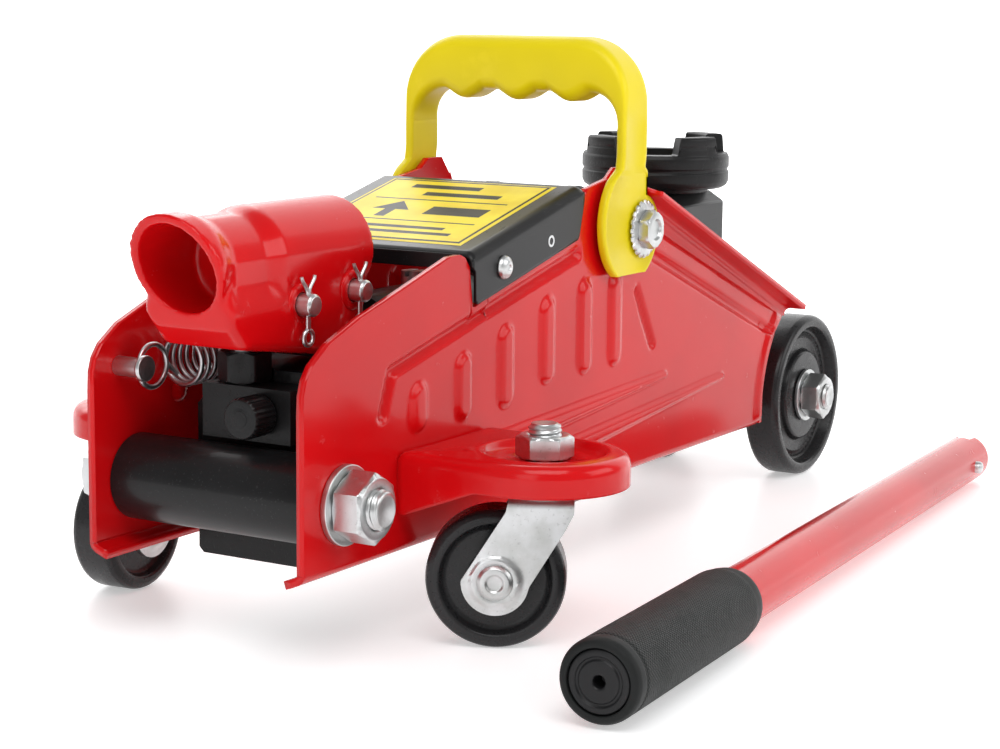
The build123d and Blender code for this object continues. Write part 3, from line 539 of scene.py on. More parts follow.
def studio_white(name):
    """Pale seamless paper with a faint sheen and a barely visible mottle, and a painted glow: it emits light of its
    own, grey near the jack and white from 1.5 m off, so that it looks white where the lamps don't reach.
    """
    s = Shader(name, specular_ior_level=0.3, emission_strength=1.0)
    mottle = s.noise(3.0, 3.0)
    body = s.colours(mottle.between(0.3, 0.7), (0.86, 0.86, 0.865), (0.84, 0.84, 0.845))
    reach = s.add("ShaderNodeVectorMath", {"operation": "LENGTH"}, {0: s.place}, "Value")
    # Painted glow: the paper emits light, grey within 0.45 m of the jack and rising to white at 1.5 m, standing in for
    # lamp light
    glow = s.colours(reach.between(0.45, 1.5), (0.42, 0.42, 0.42), (1.0, 1.0, 1.0))
    return s.feed(colour=body, glow=glow, roughness=0.32 + mottle * 0.1, normal=s.bump(s.noise(350.0, 2.0), 0.02, 0.2))


MAKERS = {
    "red_enamel": lambda n: enamel(n, tuple(looks().red), tuple(c * 0.8 for c in looks().red)),
    "black_paint": lambda n: satin(n, tuple(looks().black)),
    "black_casting": lambda n: casting(n, tuple(looks().black)),
    "zinc": lambda n: plated(n, tuple(looks().zinc), (0.50, 0.51, 0.50), 0.22),
    "bright_steel": lambda n: plated(n, (0.62, 0.62, 0.63), (0.52, 0.52, 0.53), 0.16, (14.0, 1.0, 1.0)),
    "spring_wire": lambda n: plated(n, (0.60, 0.60, 0.61), (0.42, 0.42, 0.43), 0.2),
    "black_wheel": lambda n: moulded(n, (0.012, 0.012, 0.013), (0.022, 0.022, 0.023), 0.22, 260.0, 0.05),
    "yellow_plastic": lambda n: moulded(n, tuple(looks().yellow), tuple(c * 0.9 for c in looks().yellow), 0.34),
    "label_yellow": label_print,
    "grip_foam": grip_rubber,
    "black_plastic": lambda n: moulded(n, (0.010, 0.010, 0.011), (0.020, 0.020, 0.021), 0.3),
    "seal_rubber": lambda n: moulded(n, (0.02, 0.02, 0.02), (0.03, 0.03, 0.03), 0.5),
}


def looks():
    """The colours that a user may change."""
    return bpy.context.scene.jack_looks


def finish(slot):
    """The material of a slot, made once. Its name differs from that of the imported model's own plain material."""
    name = slot.replace("_", "-") + "-finish"
    return bpy.data.materials.get(name) or MAKERS[slot](name)


# ---- Side plates ----
TOP_EDGE = np.array((
    (-157, 90), (-156.6, 97), (-155, 102), (-151.5, 106.5), (-142, 112.7), (-123, 119.6), (-99.8, 125.8), (-66.8, 135),
    (-60, 135.2), (-57, 134), (-53.8, 130.2), (-51.6, 115.4), (-50, 115.2), (-41.4, 117.6), (-40.6, 129.1), (30, 147),
    (34, 153), (52, 156), (58, 160), (68, 160), (75.5, 151.2), (227, 87.6)), float)
FLANGE_REACH = 10.5
FLANGE_GAUGE = 2.2
FLANGE_DROP = 2.39          # the flange's gauge, measured upright
FLANGE_FRONT = 227.0
RIB_X = (-88.0, -58.0, -28.0, 3.0, 33.0, 58.0)


def from_line(x, z, start, end):
    """Distance of each point from a line between two points, and how far along it the nearest point is."""
    start, end = np.asarray(start, float), np.asarray(end, float)
    along = end - start
    t = np.clip(((x - start[0]) * along[0] + (z - start[1]) * along[1]) / (along @ along), 0, 1)
    return np.hypot(x - start[0] - t * along[0], z - start[1] - t * along[1]), t


def pressing(x, z):
    """How far the sheet is pressed outwards, in millimetres: a crease below the rear edge, upright ribs under it,
    two creases below the front flange, long ribs along the bottom, and a raised border about the wheel arch."""
    line = 98.7 + (x + 104.7) * (29.6 / 129.9)
    groove, _ = from_line(x, z, (-104.7, 98.7), (27.0, 128.6))
    corner, _ = from_line(x, z, (-104.7, 98.7), (-110.0, 84.0))
    height = -2.1 * (1 - smoothstep(np.minimum(groove, corner), 0.6, 3.2))
    for middle in RIB_X:
        crown = np.minimum(line - 9.0, 118.0)
        low = 74.0 + 5.0 * (middle > -20)
        half = 6.2
        beyond = np.maximum(np.maximum(z - (crown - half), (low + half) - z), 0)
        reach = np.hypot(x - middle, beyond)
        height = height + 1.75 * (1 - smoothstep(reach, half - 3.2, half))
    for start, end in (((92, 122), (212, 76)), ((94, 134), (226, 83))):
        reach, _ = from_line(x, z, start, end)
        height = height - 1.8 * (1 - smoothstep(reach, 0.5, 3.0))
    slant, _ = from_line(x, z, (77.5, 108.0), (92.0, 84.5))
    height = height - 1.8 * (1 - smoothstep(slant, 0.5, 2.8))
    for start, end, width in (((-30, 62), (104, 70), 4.6), ((4, 50), (160, 62), 4.4)):
        reach, t = from_line(x, z, start, end)
        height = height + 1.7 * (1 - smoothstep(reach, width * (1 - 0.75 * t) * 0.4, width * (1 - 0.75 * t) + 0.8))
    arch = np.hypot(x - FRONT_AXLE[0], z - FRONT_AXLE[1])
    return height + 1.2 * (1 - smoothstep(arch, 62.5, 67.0)) * (z < 90)


def plate_web():
    """Web, bottom lip and sloping flange as one sheet: at each x a section runs from the lip's edge, round the
    bottom bend, up the web to a bend below the top edge, and out along the flange where there is one."""
    arch_x = FRONT_AXLE[0] - ARCH_RADIUS * np.cos(np.linspace(0.05, 0.94, 40))
    flange_x = np.linspace(74.6, 78.0, 6)
    x = np.unique(np.concatenate((np.linspace(-157, FLANGE_FRONT, 260), TOP_EDGE[:, 0], arch_x, flange_x)))[:, None]
    top = np.interp(x, TOP_EDGE[:, 0], TOP_EDGE[:, 1])
    flange = smoothstep(x, 74.6, 78.0)
    bend = 3.0
    web_top = top - (FLANGE_DROP + bend) * flange
    arch = ARCH_RADIUS - 3.0 * smoothstep(x, 206.0, 222.0)
    rise = np.sqrt(np.maximum(arch ** 2 - (x - FRONT_AXLE[0]) ** 2, 0))
    in_arch = x > FRONT_AXLE[0] - np.sqrt(ARCH_RADIUS ** 2 - 22.0)
    bottom = np.where(in_arch, np.minimum(FRONT_AXLE[1] + rise, web_top - 0.8), 34.0)
    lip = 1.0 - in_arch
    lip_y = PLATE_OUTER + lip * np.array((-7.4, -4.8, -2.4, -0.8))[None]
    lip_z = bottom + lip * np.array((-2.8, -1.9, -0.9, 0.3))[None] + (1 - lip) * np.array((0.0, 0.1, 0.2, 0.3))[None]
    foot = bottom + 0.6 + 1.2 * lip
    level = np.clip(web_top - 2.0, foot + 0.1, 108.0)
    share = np.linspace(0, 1, 96)[None]
    web_z = np.concatenate((foot + (level - foot) * share, level + (web_top - level) * np.linspace(0, 1, 26)[None, 1:]), 1)
    fade = smoothstep(web_top - web_z, 0.0, 6.0) * smoothstep(web_z - bottom, 0.5, 4.0)
    web_y = PLATE_OUTER + pressing(np.broadcast_to(x, web_z.shape), web_z) * fade
    turn = np.radians(np.linspace(15, 90, 6))[None]
    bend_y = PLATE_OUTER + flange * bend * (1 - np.cos(turn))
    bend_z = web_top + flange * bend * np.sin(turn) + (1 - flange) * 0.02 * turn
    out_y = PLATE_OUTER + flange * FLANGE_REACH * np.array((0.45, 0.65, 0.85, 1.0))[None]
    out_z = web_top + flange * bend + (1 - flange) * np.array((0.05, 0.1, 0.15, 0.2))[None]
    y = np.concatenate((lip_y, web_y, bend_y, out_y), 1)
    z = np.concatenate((lip_z, web_z, bend_z, out_z), 1)
    return surface(np.stack((np.broadcast_to(x, y.shape), y, z), -1)[:, ::-1])


def arch_strip():
    """Wheel arch: a rounded rectangle between radii 57 and 60 and between two y, carried round the front axle."""
    angle = np.radians(np.linspace(184.4, 128.5, 60))
    section = np.array([(57, 23.5), (57, 45.7), (57.6, 46.3), (60, 46.3), (60, 23.5), (58.5, 23.0)], float)
    r, y = section[:, 0][None], section[:, 1][None]
    x = FRONT_AXLE[0] + r * np.cos(angle)[:, None]
    z = FRONT_AXLE[1] + r * np.sin(angle)[:, None]
    points = np.stack((x, np.broadcast_to(y, x.shape), z), -1)
    ends = points[[0, -1]].mean(1, keepdims=True) * np.ones((1, len(section), 1))
    return surface(np.concatenate((ends[:1], points, ends[1:])), wrap_cols=True)


def polygon_reach(outline, centre, angles):
    """Distance from a centre to a closed outline in each direction: the least positive s for which
    centre + s (cos, sin) lies on an edge."""
    corners = np.asarray(outline, float) - centre
    edge = np.roll(corners, -1, 0) - corners
    d = np.stack((np.cos(angles), np.sin(angles)), -1)[:, None]
    cross = d[..., 0] * edge[None, :, 1] - d[..., 1] * edge[None, :, 0]
    safe = np.where(np.abs(cross) < 1e-9, 1e-9, cross)
    s = (corners[None, :, 0] * edge[None, :, 1] - corners[None, :, 1] * edge[None, :, 0]) / safe
    t = (corners[None, :, 0] * d[..., 1] - corners[None, :, 1] * d[..., 0]) / safe
    return np.where((s > 0) & (t >= -1e-9) & (t <= 1 + 1e-9), s, np.inf).min(1)


def tongue():
    """Narrow nose between the wheels: a flat disc about the axle whose reach in each direction is that of its
    outline, at most the arch's radius, with softened edges."""
    outline = [(203, 34), (240, 26), (280, 24), (288, 34), (284, 52), (230, 84), (222, 80), (203, 48)]
    angle = np.linspace(0, 2 * np.pi, 240, endpoint=False)
    reach = np.minimum(polygon_reach(outline, FRONT_AXLE, angle), ARCH_RADIUS - 0.6)
    profile = np.array([(0.0, 26.0), (0.5, 26.0), (-0.8, 26.0), (0.0, 25.3), (0.0, 23.7), (-0.8, 23.0), (0.5, 23.0), (0.0, 23.0)])
    share = np.array((0, 0.5, 1, 1, 1, 1, 0.5, 0))[:, None]
    r = reach[None] * share + np.array((0, 0, -0.8, 0, 0, -0.8, 0, 0))[:, None]
    x = FRONT_AXLE[0] + r * np.cos(angle)
    z = FRONT_AXLE[1] + r * np.sin(angle)
    y = np.broadcast_to(profile[:, 1][:, None], x.shape)
    return surface(np.stack((x, y, z), -1), wrap_cols=True)


def thin_flange(web):
    """Gives the sheet its full gauge on the web and the flange's gauge where it stands out past the bend."""
    co = np.zeros(len(web.data.vertices) * 3, np.float32)
    web.data.vertices.foreach_get("co", co)
    local = co.reshape(-1, 3) * 1000 - SHIFT
    full = np.flatnonzero(np.abs(local[:, 1]) < PLATE_OUTER + 2.6)
    group = web.vertex_groups.new(name="full gauge")
    group.add(full.tolist(), 1.0, "REPLACE")
    wall = web.modifiers["Wall"]
    wall.vertex_group, wall.thickness_vertex_group = group.name, FLANGE_GAUGE / PLATE_GAUGE


def build_plates():
    for name, side in SIDES.items():
        web = new_piece(f"side-plate-{name}-web", [mirrored(plate_web(), side)], "frame", "red_enamel",
                        (f"side_plate_{name}",), solidify=PLATE_GAUGE - 0.05, sharp=50)
        thin_flange(web)
        new_piece(f"side-plate-{name}-arch", [mirrored(arch_strip(), side), mirrored(tongue(), side)], "frame", "red_enamel")


# ---- Caster brackets ----
def pan():
    """Pressed pan: polar about the stud, the reach is 30.5 round the outside and runs on to the plate at the
    inside; the height steps from a dished seat over a raised ring to the top, then rolls over into the skirt."""
    angle = np.linspace(0, 2 * np.pi, 200, endpoint=False)
    c, s = np.cos(angle), np.sin(angle)
    near = CASTER_PIVOT[1] - PLATE_OUTER + 0.6
    reach = np.where(s >= 0, 30.5, np.minimum(30.5 / np.maximum(np.abs(c), 1e-6), near / np.maximum(-s, 1e-6)))
    low = np.interp(CASTER_PIVOT[1] + reach * s, (49.3, 78.0), (47.6, 58.6))
    fixed = np.array([(6.0, 67.5), (18.5, 67.5), (20.2, 67.7), (21.3, 68.7), (22.2, 70.1), (23.4, 70.5), (24.8, 70.1)])
    inset = np.array([(4.2, 70.0), (2.6, 69.7), (1.2, 68.8), (0.3, 67.2), (0.0, 65.2)])
    rows_r = [np.full_like(reach, r) for r, _ in fixed] + [reach - i for i, _ in inset]
    rows_z = [np.full_like(reach, z) for _, z in fixed] + [np.full_like(reach, z) for _, z in inset]
    for share in (0.3, 0.65, 0.9, 1.0):
        rows_r.append(reach)
        rows_z.append(65.2 + (low - 65.2) * share)
    r, z = np.array(rows_r), np.array(rows_z)
    return surface(np.stack((CASTER_PIVOT[0] + r * c, CASTER_PIVOT[1] + r * s, z), -1)[::-1], wrap_cols=True)


def build_brackets():
    stud_x, stud_y = CASTER_PIVOT
    for name, side in SIDES.items():
        new_piece(f"caster-bracket-{name}-pan", [mirrored(pan(), side)], "frame", "red_enamel",
                  (f"caster_bracket_{name}",), solidify=2.6, sharp=60)
    pins = [threaded((stud_x, s * stud_y, 73.0), (stud_x, s * stud_y, 80.0), 6.0, 1.75, 0.6) for s in (1, -1)]
    pins += [bar((stud_x, s * stud_y, 51.0), (stud_x, s * stud_y, 73.0), 5.9, 0.3) for s in (1, -1)]
    pins += [bar((stud_x, s * stud_y, 50.6), (stud_x, s * stud_y, 53.1), 9.2, 0.8) for s in (1, -1)]
    new_piece("caster-studs-threaded", pins, "frame", "zinc", ("caster_studs",))
    nuts = [hex_nut((stud_x, s * stud_y, 67.6), (0, 0, 1), 18, 8.4, 5.6) for s in (1, -1)]
    new_piece("caster-stud-nuts-turned", nuts, "frame", "zinc", ("caster_stud_nuts",))
    races = [turned(softened([(3, 6.2), (0, 6.2), (0, 13.5), (2.6, 15), (4.6, 15), (7.7, 12.5), (7.7, 6.2), (3, 6.2)], 0.6),
                    (stud_x, s * stud_y, 56.8), (0, 0, 1)) for s in (1, -1)]
    new_piece("swivel-races-turned", races, "frame", "zinc", ("swivel_races",))


# ---- Casters, drawn trailing along +X from their own swivel axis ----
def caster_place(shape, name):
    """Turns a shape about the swivel axis and moves it under its bracket."""
    vertices, faces = shape
    turn = math.radians(CASTER_TURNS[name])
    c, s = math.cos(turn), math.sin(turn)
    spun = vertices @ np.array(((c, s, 0), (-s, c, 0), (0, 0, 1)))
    return spun + (CASTER_PIVOT[0], SIDES[name] * CASTER_PIVOT[1], 0), faces


def fork_sheet():
    """Bent fork: the section across y runs up one cheek, over the top in two bends and down the other. At each
    height the sheet spans from its rear edge to its front edge, which close in a circle about the axle, and a
    stepped boss is pressed out about the rivet."""
    out, top, bend, floor = 12.2, 56.5, 5.0, CASTER_RADIUS - 12.0
    up = np.concatenate((CASTER_RADIUS - 12.0 * np.cos(np.linspace(0.02, np.pi / 2, 16)), np.linspace(25.8, top - bend, 34)))
    arc = np.radians(np.linspace(8, 90, 9))
    side_y = np.concatenate((np.full_like(up, out), out - bend + bend * np.cos(arc)))
    side_z = np.concatenate((up, top - bend + bend * np.sin(arc)))
    flat = np.linspace(out - bend, 0, 8)[1:]
    y = np.concatenate((side_y, flat, -flat[-2::-1], -side_y[::-1]))
    z = np.concatenate((side_z, np.full(7, top), np.full(6, top), side_z[::-1]))
    ring = np.sqrt(np.maximum(144 - np.minimum(z - CASTER_RADIUS, 0) ** 2, 0))
    over = smoothstep(z, 52.0, 56.4) * np.sqrt(np.maximum(225 - np.minimum(np.abs(y), 14.9) ** 2, 0))
    front = np.where(z < 25.5, CASTER_TRAIL + ring, np.interp(z, (25.5, 50, 56.5), (28.4, 13, 11.5)))
    rear = np.where(z < 23.3, CASTER_TRAIL - ring, np.interp(z, (23.3, 44, 50, 56.5), (4.6, -8, -11, -11)))
    front = np.where(z > 52, np.maximum(front, over), front)
    rear = np.where(z > 52, np.minimum(rear, -over), rear)
    share = np.sin(np.linspace(-np.pi / 2, np.pi / 2, 26))[None] * 0.5 + 0.5
    x = rear[:, None] + (front - rear)[:, None] * share
    zz = np.broadcast_to(z[:, None], x.shape)
    away = np.hypot(x - CASTER_TRAIL, zz - CASTER_RADIUS)
    boss = 0.8 * (1 - smoothstep(away, 8.4, 9.4)) - 0.4 * (1 - smoothstep(away, 6.4, 7.0))
    cheek = (np.abs(y) > out - 0.01)[:, None]
    yy = y[:, None] + np.sign(y)[:, None] * boss * cheek
    return surface(np.stack((x, yy, zz), -1))


def caster_disc():
    """Half section of a caster wheel: a crowned tread, rolled rims, recessed webs and a long hub."""
    w = 9.0
    half = [(0, 4.1), (w, 4.1), (w, 8.8), (w - 0.6, 9.6), (w - 4, 10.2), (w - 4, 17.6), (w - 3.2, 19.0), (w - 0.5, 19.9),
            (w, 20.6), (w, 22.4), (w - 1.1, 24.3), (w - 2.8, 25.0), (0, 25.0)]
    whole = half + [(-t, r) for t, r in half[::-1][1:]]
    return turned(softened(whole, 0.5, 3), (CASTER_TRAIL, 0, CASTER_RADIUS), (0, 1, 0), 128)


def build_casters():
    for name in SIDES:
        new_piece(f"caster-fork-{name}-bent", [caster_place(fork_sheet(), name)], f"caster_{name}", "zinc",
                  (f"caster_fork_{name}",), solidify=2.3, bevel=0.35, sharp=45)
        head = [(-3, 0), (-3, 4), (0, 4), (0, 6.5), (1.2, 6.4), (2.3, 5.2), (2.4, 3.4), (1.7, 2.6), (1.6, 0)]
        ends = [turned(softened(head, 0.3, 3), (CASTER_TRAIL, s * 12.25, CASTER_RADIUS), (0, s, 0)) for s in (1, -1)]
        ends.append(bar((CASTER_TRAIL, -12, CASTER_RADIUS), (CASTER_TRAIL, 12, CASTER_RADIUS), 3.95, 0.2))
        new_piece(f"caster-rivet-{name}-headed", [caster_place(e, name) for e in ends], f"caster_{name}", "zinc",
                  (f"caster_rivet_{name}",))
        new_piece(f"caster-wheel-{name}-moulded", [caster_place(caster_disc(), name)], f"caster_wheel_{name}",
                  "black_wheel", (f"caster_wheel_{name}",))


# ---- Front wheels and axle ----
def front_disc():
    """Section of a front wheel from its inner face outwards, with a ring of fine serrations in the outer dish:
    their points move along the axle by 0.35 cos(60 phi)."""
    outline = [(6, 6.15), (0, 6.15), (0, 14.6), (0.8, 15.4), (4, 16.0), (4, 31.0), (3.2, 31.8), (0.4, 32.6), (0, 33.4), (0, 36.4),
               (0.9, 37.9), (2.6, 38.7), (14.4, 38.7), (16.1, 37.9), (17, 36.4), (17, 33.8), (16.4, 33.0), (11.6, 31.9), (11, 31.2),
               (11, 30.2), (11.5, 29.6), (11.5, 27.8), (11, 27.2), (11, 22.6), (11.6, 21.8), (13.8, 21.2), (14.4, 20.4),
               (14.4, 6.15), (6, 6.15)]
    profile = softened(outline, 0.45, 2)
    points, faces = turned(profile, (FRONT_AXLE[0], 28.0, FRONT_AXLE[1]), (0, 1, 0), 240)
    shaped = points.reshape(len(profile), 240, 3).copy()
    ring = ((profile[:, 1] > 27.7) & (profile[:, 1] < 29.8) & (profile[:, 0] > 11.2))[:, None]
    shaped[..., 1] += 0.35 * np.cos(60 * np.linspace(0, 2 * np.pi, 240, endpoint=False))[None] * ring
    return shaped.reshape(-1, 3), faces


def build_front_wheels():
    x, z = FRONT_AXLE
    for name, side in SIDES.items():
        new_piece(f"front-wheel-{name}-moulded", [mirrored(front_disc(), side)], f"front_wheel_{name}", "black_wheel",
                  (f"front_wheel_{name}",))
    ends = [threaded((x, s * 44.0, z), (x, s * 56.0, z), 6.0, 1.75, 0.6) for s in (1, -1)]
    new_piece("front-axle-threaded", ends + [bar((x, -44, z), (x, 44, z), 6.0, 0.3)], "frame", "zinc", ("front_axle",))
    rings = []
    for s in (1, -1):
        for low, high, radius in ((26.0, 27.7, 11.0), (42.8, 44.5, 12.5)):
            rings.append(bar((x, s * low, z), (x, s * high, z), radius, 0.35, 72, 6.05))
    new_piece("axle-washers-stamped", rings, "frame", "zinc", ("axle_washers",))
    nuts = [hex_nut((x, s * 44.5, z), (0, s, 0), 19, 9.5, 5.6) for s in (1, -1)]
    new_piece("axle-nuts-turned", nuts, "frame", "zinc", ("axle_nuts",))


# ---- Rear cross tube and tie rod ----
def build_rear_tube():
    x, z = -134.0, 57.0
    new_piece("rear-cross-tube-rolled", [bar((x, -43.2, z), (x, 43.2, z), 15.5, 0.5, 128, 13.0)], "frame", "black_paint",
              ("rear_cross_tube",))
    ends = [threaded((x, s * 46.0, z), (x, s * 64.0, z), 7.0, 2.0, 0.7) for s in (1, -1)]
    new_piece("rear-tie-rod-threaded", ends + [bar((x, -46, z), (x, 46, z), 6.8, 0.3)], "frame", "zinc", ("rear_tie_rod",))
    rings = [bar((x, s * 46.35, z), (x, s * 48.8, z), 14.0, 0.5, 96, 7.1) for s in (1, -1)]
    new_piece("tie-rod-washers-stamped", rings, "frame", "zinc", ("tie_rod_washers",))
    nuts = [hex_nut((x, s * 48.8, z), (0, s, 0), 22, 11.7, 6.6) for s in (1, -1)]
    new_piece("tie-rod-nuts-turned", nuts, "frame", "zinc", ("tie_rod_nuts",))


# ---- Carry handle ----
def carry_arch():
    """Moulded handle: a rounded rectangle between an inner and an outer line of the arch, carried from one lobe
    up the leg, round the corner, along the grip and down the other side. Its depth along x is a circle about
    the bolt at the lobes and 21 above them; the legs' outer faces are slightly dished between two ridges."""
    leg = np.concatenate((np.linspace(117.2, 158.0, 40), np.linspace(158.6, 166.0, 12), np.linspace(168.0, 184.0, 9)))
    corner = np.radians(np.linspace(0, 90, 18))
    grip = np.linspace(27.3, -27.3, 75)[1:-1]
    outer_y = np.concatenate((np.full_like(leg, 52.3), 27.3 + 25 * np.cos(corner), grip))
    outer_z = np.concatenate((leg, 187 + 25 * np.sin(corner), np.full_like(grip, 212.0)))
    inner_leg = np.minimum(leg, 176.0)
    inner_grip = grip * (34.3 / 27.3)
    reach = np.abs(inner_grip[:, None] - np.array((-25.0, 0.0, 25.0))[None]).min(1)
    bumps = 190.0 - 4.0 * np.cos(np.clip(reach / 9.5, 0, 1) * np.pi / 2) ** 1.4
    inner_y = np.concatenate((np.full_like(leg, 48.4), 34.3 + 14 * np.cos(corner), inner_grip))
    inner_z = np.concatenate((inner_leg, 176 + 14 * np.sin(corner), bumps))
    mirror_rows = slice(len(leg) + len(corner) - 1, None, -1)
    outer = np.column_stack((np.concatenate((outer_y, -outer_y[mirror_rows])), np.concatenate((outer_z, outer_z[mirror_rows]))))
    inner = np.column_stack((np.concatenate((inner_y, -inner_y[mirror_rows])), np.concatenate((inner_z, inner_z[mirror_rows]))))
    height = np.minimum(outer[:, 1], 190)
    lobe = np.sqrt(np.maximum(24.4 ** 2 - np.clip(height - 138, -24.4, 24.4) ** 2, 0))
    blend = smoothstep(height, 155.0, 167.0)
    half = np.maximum(np.where(height < 165, lobe * (1 - blend) + 10.4 * blend, 10.4), 10.4)
    middle = np.where(height < 155, 61.5, 61.5 + 1.5 * blend)
    thick = np.linalg.norm(outer - inner, axis=1) / 2
    outward = (outer - inner) / (2 * thick[:, None])
    round_by = np.minimum(np.interp(thick, (2, 11), (1.5, 5.5)), thick * 0.85)
    dish = 0.55 * smoothstep(thick, 4.0, 2.2)
    quarter = np.radians(np.linspace(0, 90, 6))
    turn = np.concatenate((quarter, quarter[::-1], quarter, quarter[::-1]))[None]
    sign_a = np.repeat((1, -1, -1, 1), 6)[None]
    sign_b = np.repeat((1, 1, -1, -1), 6)[None]
    thick, half, round_by, dish = (v[:, None] for v in (thick, half, round_by, dish))
    corner_a = sign_a * (thick - round_by + round_by * np.cos(turn))
    corner_b = sign_b * (half - round_by + round_by * np.sin(turn))
    face_a = np.concatenate((thick - dish, thick), 1)
    face_b = half - np.maximum(round_by + np.array((1.2, 0.4)), (3.8, 2.6))
    a = np.concatenate((thick - dish, face_a, corner_a, face_a[:, ::-1]), 1)
    b = np.concatenate((0 * half, face_b, corner_b, -face_b[:, ::-1]), 1)
    centre = (outer + inner) / 2
    y = centre[:, 0][:, None] + outward[:, 0][:, None] * a
    z = centre[:, 1][:, None] + outward[:, 1][:, None] * a
    under_flange = PIVOT[0] + np.sqrt(np.maximum(14.0 ** 2 - (z - PIVOT[1]) ** 2, 3.5 ** 2))
    limit = np.where(z > 136, under_flange, np.interp(z, (117, 128, 136), (96.0, 86.4, 83.9)))
    x = np.where(z < 165, np.minimum(middle[:, None] + b, limit), middle[:, None] + b)
    points = np.stack((x, y, z), -1)
    low = points[:1].mean(1, keepdims=True) * np.ones((1, points.shape[1], 1))
    high = points[-1:].mean(1, keepdims=True) * np.ones((1, points.shape[1], 1))
    return surface(np.concatenate((low, points, high)), wrap_cols=True)


def build_carry_handle():
    x, z = PIVOT
    new_piece("carry-handle-moulded", [carry_arch()], "carry_handle", "yellow_plastic", ("carry_handle",), sharp=40)
    rings = []
    for s in (1, -1):
        rings.append(bar((x, s * 46.35, z), (x, s * 48.0, z), 11.0, 0.3, 72, 5.1))
        teeth = [(0.7, 5.1), (0, 5.1), (0, 11.4), (0.5, 11.5), (1.2, 10.6), (1.5, 8.2), (1.5, 5.1), (0.7, 5.1)]
        rings.append(turned(softened(teeth, 0.15, 2), (x, s * 52.6, z), (0, s, 0), 180,
                            lambda p, phi: 1 + 0.035 * np.sign(np.cos(20 * phi))[None] * (p[:, 1][:, None] > 10)))
    new_piece("carry-washers-toothed", rings, "frame", "zinc", ("carry_washers",), sharp=30)
    heads = []
    for s in (1, -1):
        head = [(0, 0), (0, 7.3), (0.4, 8.0), (3.4, 8.0), (4.3, 7.2), (4.7, 6.0), (4.7, 4.4), (3.6, 3.8), (3.5, 0)]
        heads.append(turned(head, (x, s * 54.05, z), (0, s, 0), 144, hexagon_factor(14)))
        heads.append(bar((x, s * 31, z), (x, s * 54.2, z), 4.95, 0.3))
    new_piece("carry-bolts-headed", heads, "frame", "zinc", ("carry_bolts",))


# ---- Cover and label ----
def cover_height(x):
    return 135.5 + (x + 53.8) * (155.3 - 135.5) / (29.0 + 53.8)


def slab(low, high, soft=0.8):
    """Rounded box: a superellipse of power 10 in the two longer directions' section, closed by softened ends."""
    low, high = np.asarray(low, float), np.asarray(high, float)
    centre, half = (low + high) / 2, (high - low) / 2
    phi = np.linspace(0, 2 * np.pi, 64, endpoint=False)
    c, s = np.cos(phi), np.sin(phi)
    a, b = np.sign(c) * np.abs(c) ** 0.2, np.sign(s) * np.abs(s) ** 0.2
    inset = np.array((0, soft, soft * 0.3, 0, 0, soft * 0.3, soft, 0))
    share = np.array((0, 1, 1, 1, 1, 1, 1, 0))
    along = np.array((-1, -1, -1, -1, 1, 1, 1, 1)) * half[1] + np.array((0, 0, 0.25, 1, -1, -0.25, 0, 0)) * soft
    x = (half[0] - inset)[:, None] * share[:, None] * a
    z = (half[2] - inset)[:, None] * share[:, None] * b
    y = np.broadcast_to(along[:, None], x.shape)
    return surface(np.stack((x, y, z), -1) + centre, wrap_cols=True)


def cover_sheet():
    """Folded cover: at each x the section runs up one skirt, round a 4 mm fold, across the sloping top with a
    faint crown, and down the other skirt, whose lower edge steps with the side plate."""
    x = np.unique(np.concatenate((np.linspace(-53.8, 29, 70), (-51.7, -51.4, -50.4, -41.0))))[:, None]
    low = np.interp(x, (-53.8, -51.7, -51.4, -50.4, -41, 25, 29), (130.5, 128.6, 117.4, 116.6, 118.6, 134.2, 149))
    top, half, bend = cover_height(x), 47.8, 4.0
    share = np.linspace(0, 1, 14)[None]
    skirt_z = low + (top - bend - low) * share
    turn = np.radians(np.linspace(10, 90, 9))[None]
    bend_y = half - bend + bend * np.cos(turn) * np.ones_like(x)
    bend_z = top - bend + bend * np.sin(turn)
    flat = np.linspace(half - bend - 1, -(half - bend - 1), 40)[None] * np.ones_like(x)
    skirt_y = np.full_like(skirt_z, half)
    y = np.concatenate((skirt_y, bend_y, flat, -bend_y[:, ::-1], -skirt_y[:, ::-1]), 1)
    z = np.concatenate((skirt_z, bend_z, top * np.ones_like(flat), bend_z[:, ::-1], skirt_z[:, ::-1]), 1)
    roll = 1.2 * (1 - smoothstep(np.minimum(x + 53.8, 29 - x), 0, 2.4))
    z = z - roll * (np.abs(y) < half - 0.5)
    return surface(np.stack((np.broadcast_to(x, y.shape), y, z), -1)[::-1])


def label_sheet():
    """Printed plate on the cover: a rounded rectangle by u across and v along, 0.4 thick with a softened edge."""
    u, v = np.linspace(0, 1, 40)[:, None], np.linspace(0, 1, 40)[None]
    edge = np.minimum(np.minimum(u, 1 - u) * 76, np.minimum(v, 1 - v) * 73)
    x = -47 + 71 * v + 0 * u
    y = 38 - 76 * u + 0 * v
    z = cover_height(x) + 0.06 + 0.34 * smoothstep(edge, -0.01, 0.8)
    points = np.stack((x, y, z), -1)
    return surface(points), np.stack((u + 0 * v, v + 0 * u), -1).reshape(-1, 2)


def with_map(piece, name, uv, seam=False):
    """Stores a UV value for each corner of each face, read from the piece's grid points; across a seam the value
    is carried past 1 so that no face runs backwards."""
    mesh = piece.data
    layer = mesh.uv_layers.new(name=name)
    corners = np.zeros(len(mesh.loops), np.int32)
    mesh.loops.foreach_get("vertex_index", corners)
    values = uv[corners].astype(np.float64)
    if seam:
        starts, totals = np.zeros(len(mesh.polygons), np.int32), np.zeros(len(mesh.polygons), np.int32)
        mesh.polygons.foreach_get("loop_start", starts)
        mesh.polygons.foreach_get("loop_total", totals)
        owner = np.repeat(np.arange(len(starts)), totals)
        top = np.full(len(starts), -1.0)
        np.maximum.at(top, owner, values[:, 0])
        values[:, 0] += (top[owner] - values[:, 0] > 0.5)
    layer.data.foreach_set("uv", values.astype(np.float32).ravel())
    return piece


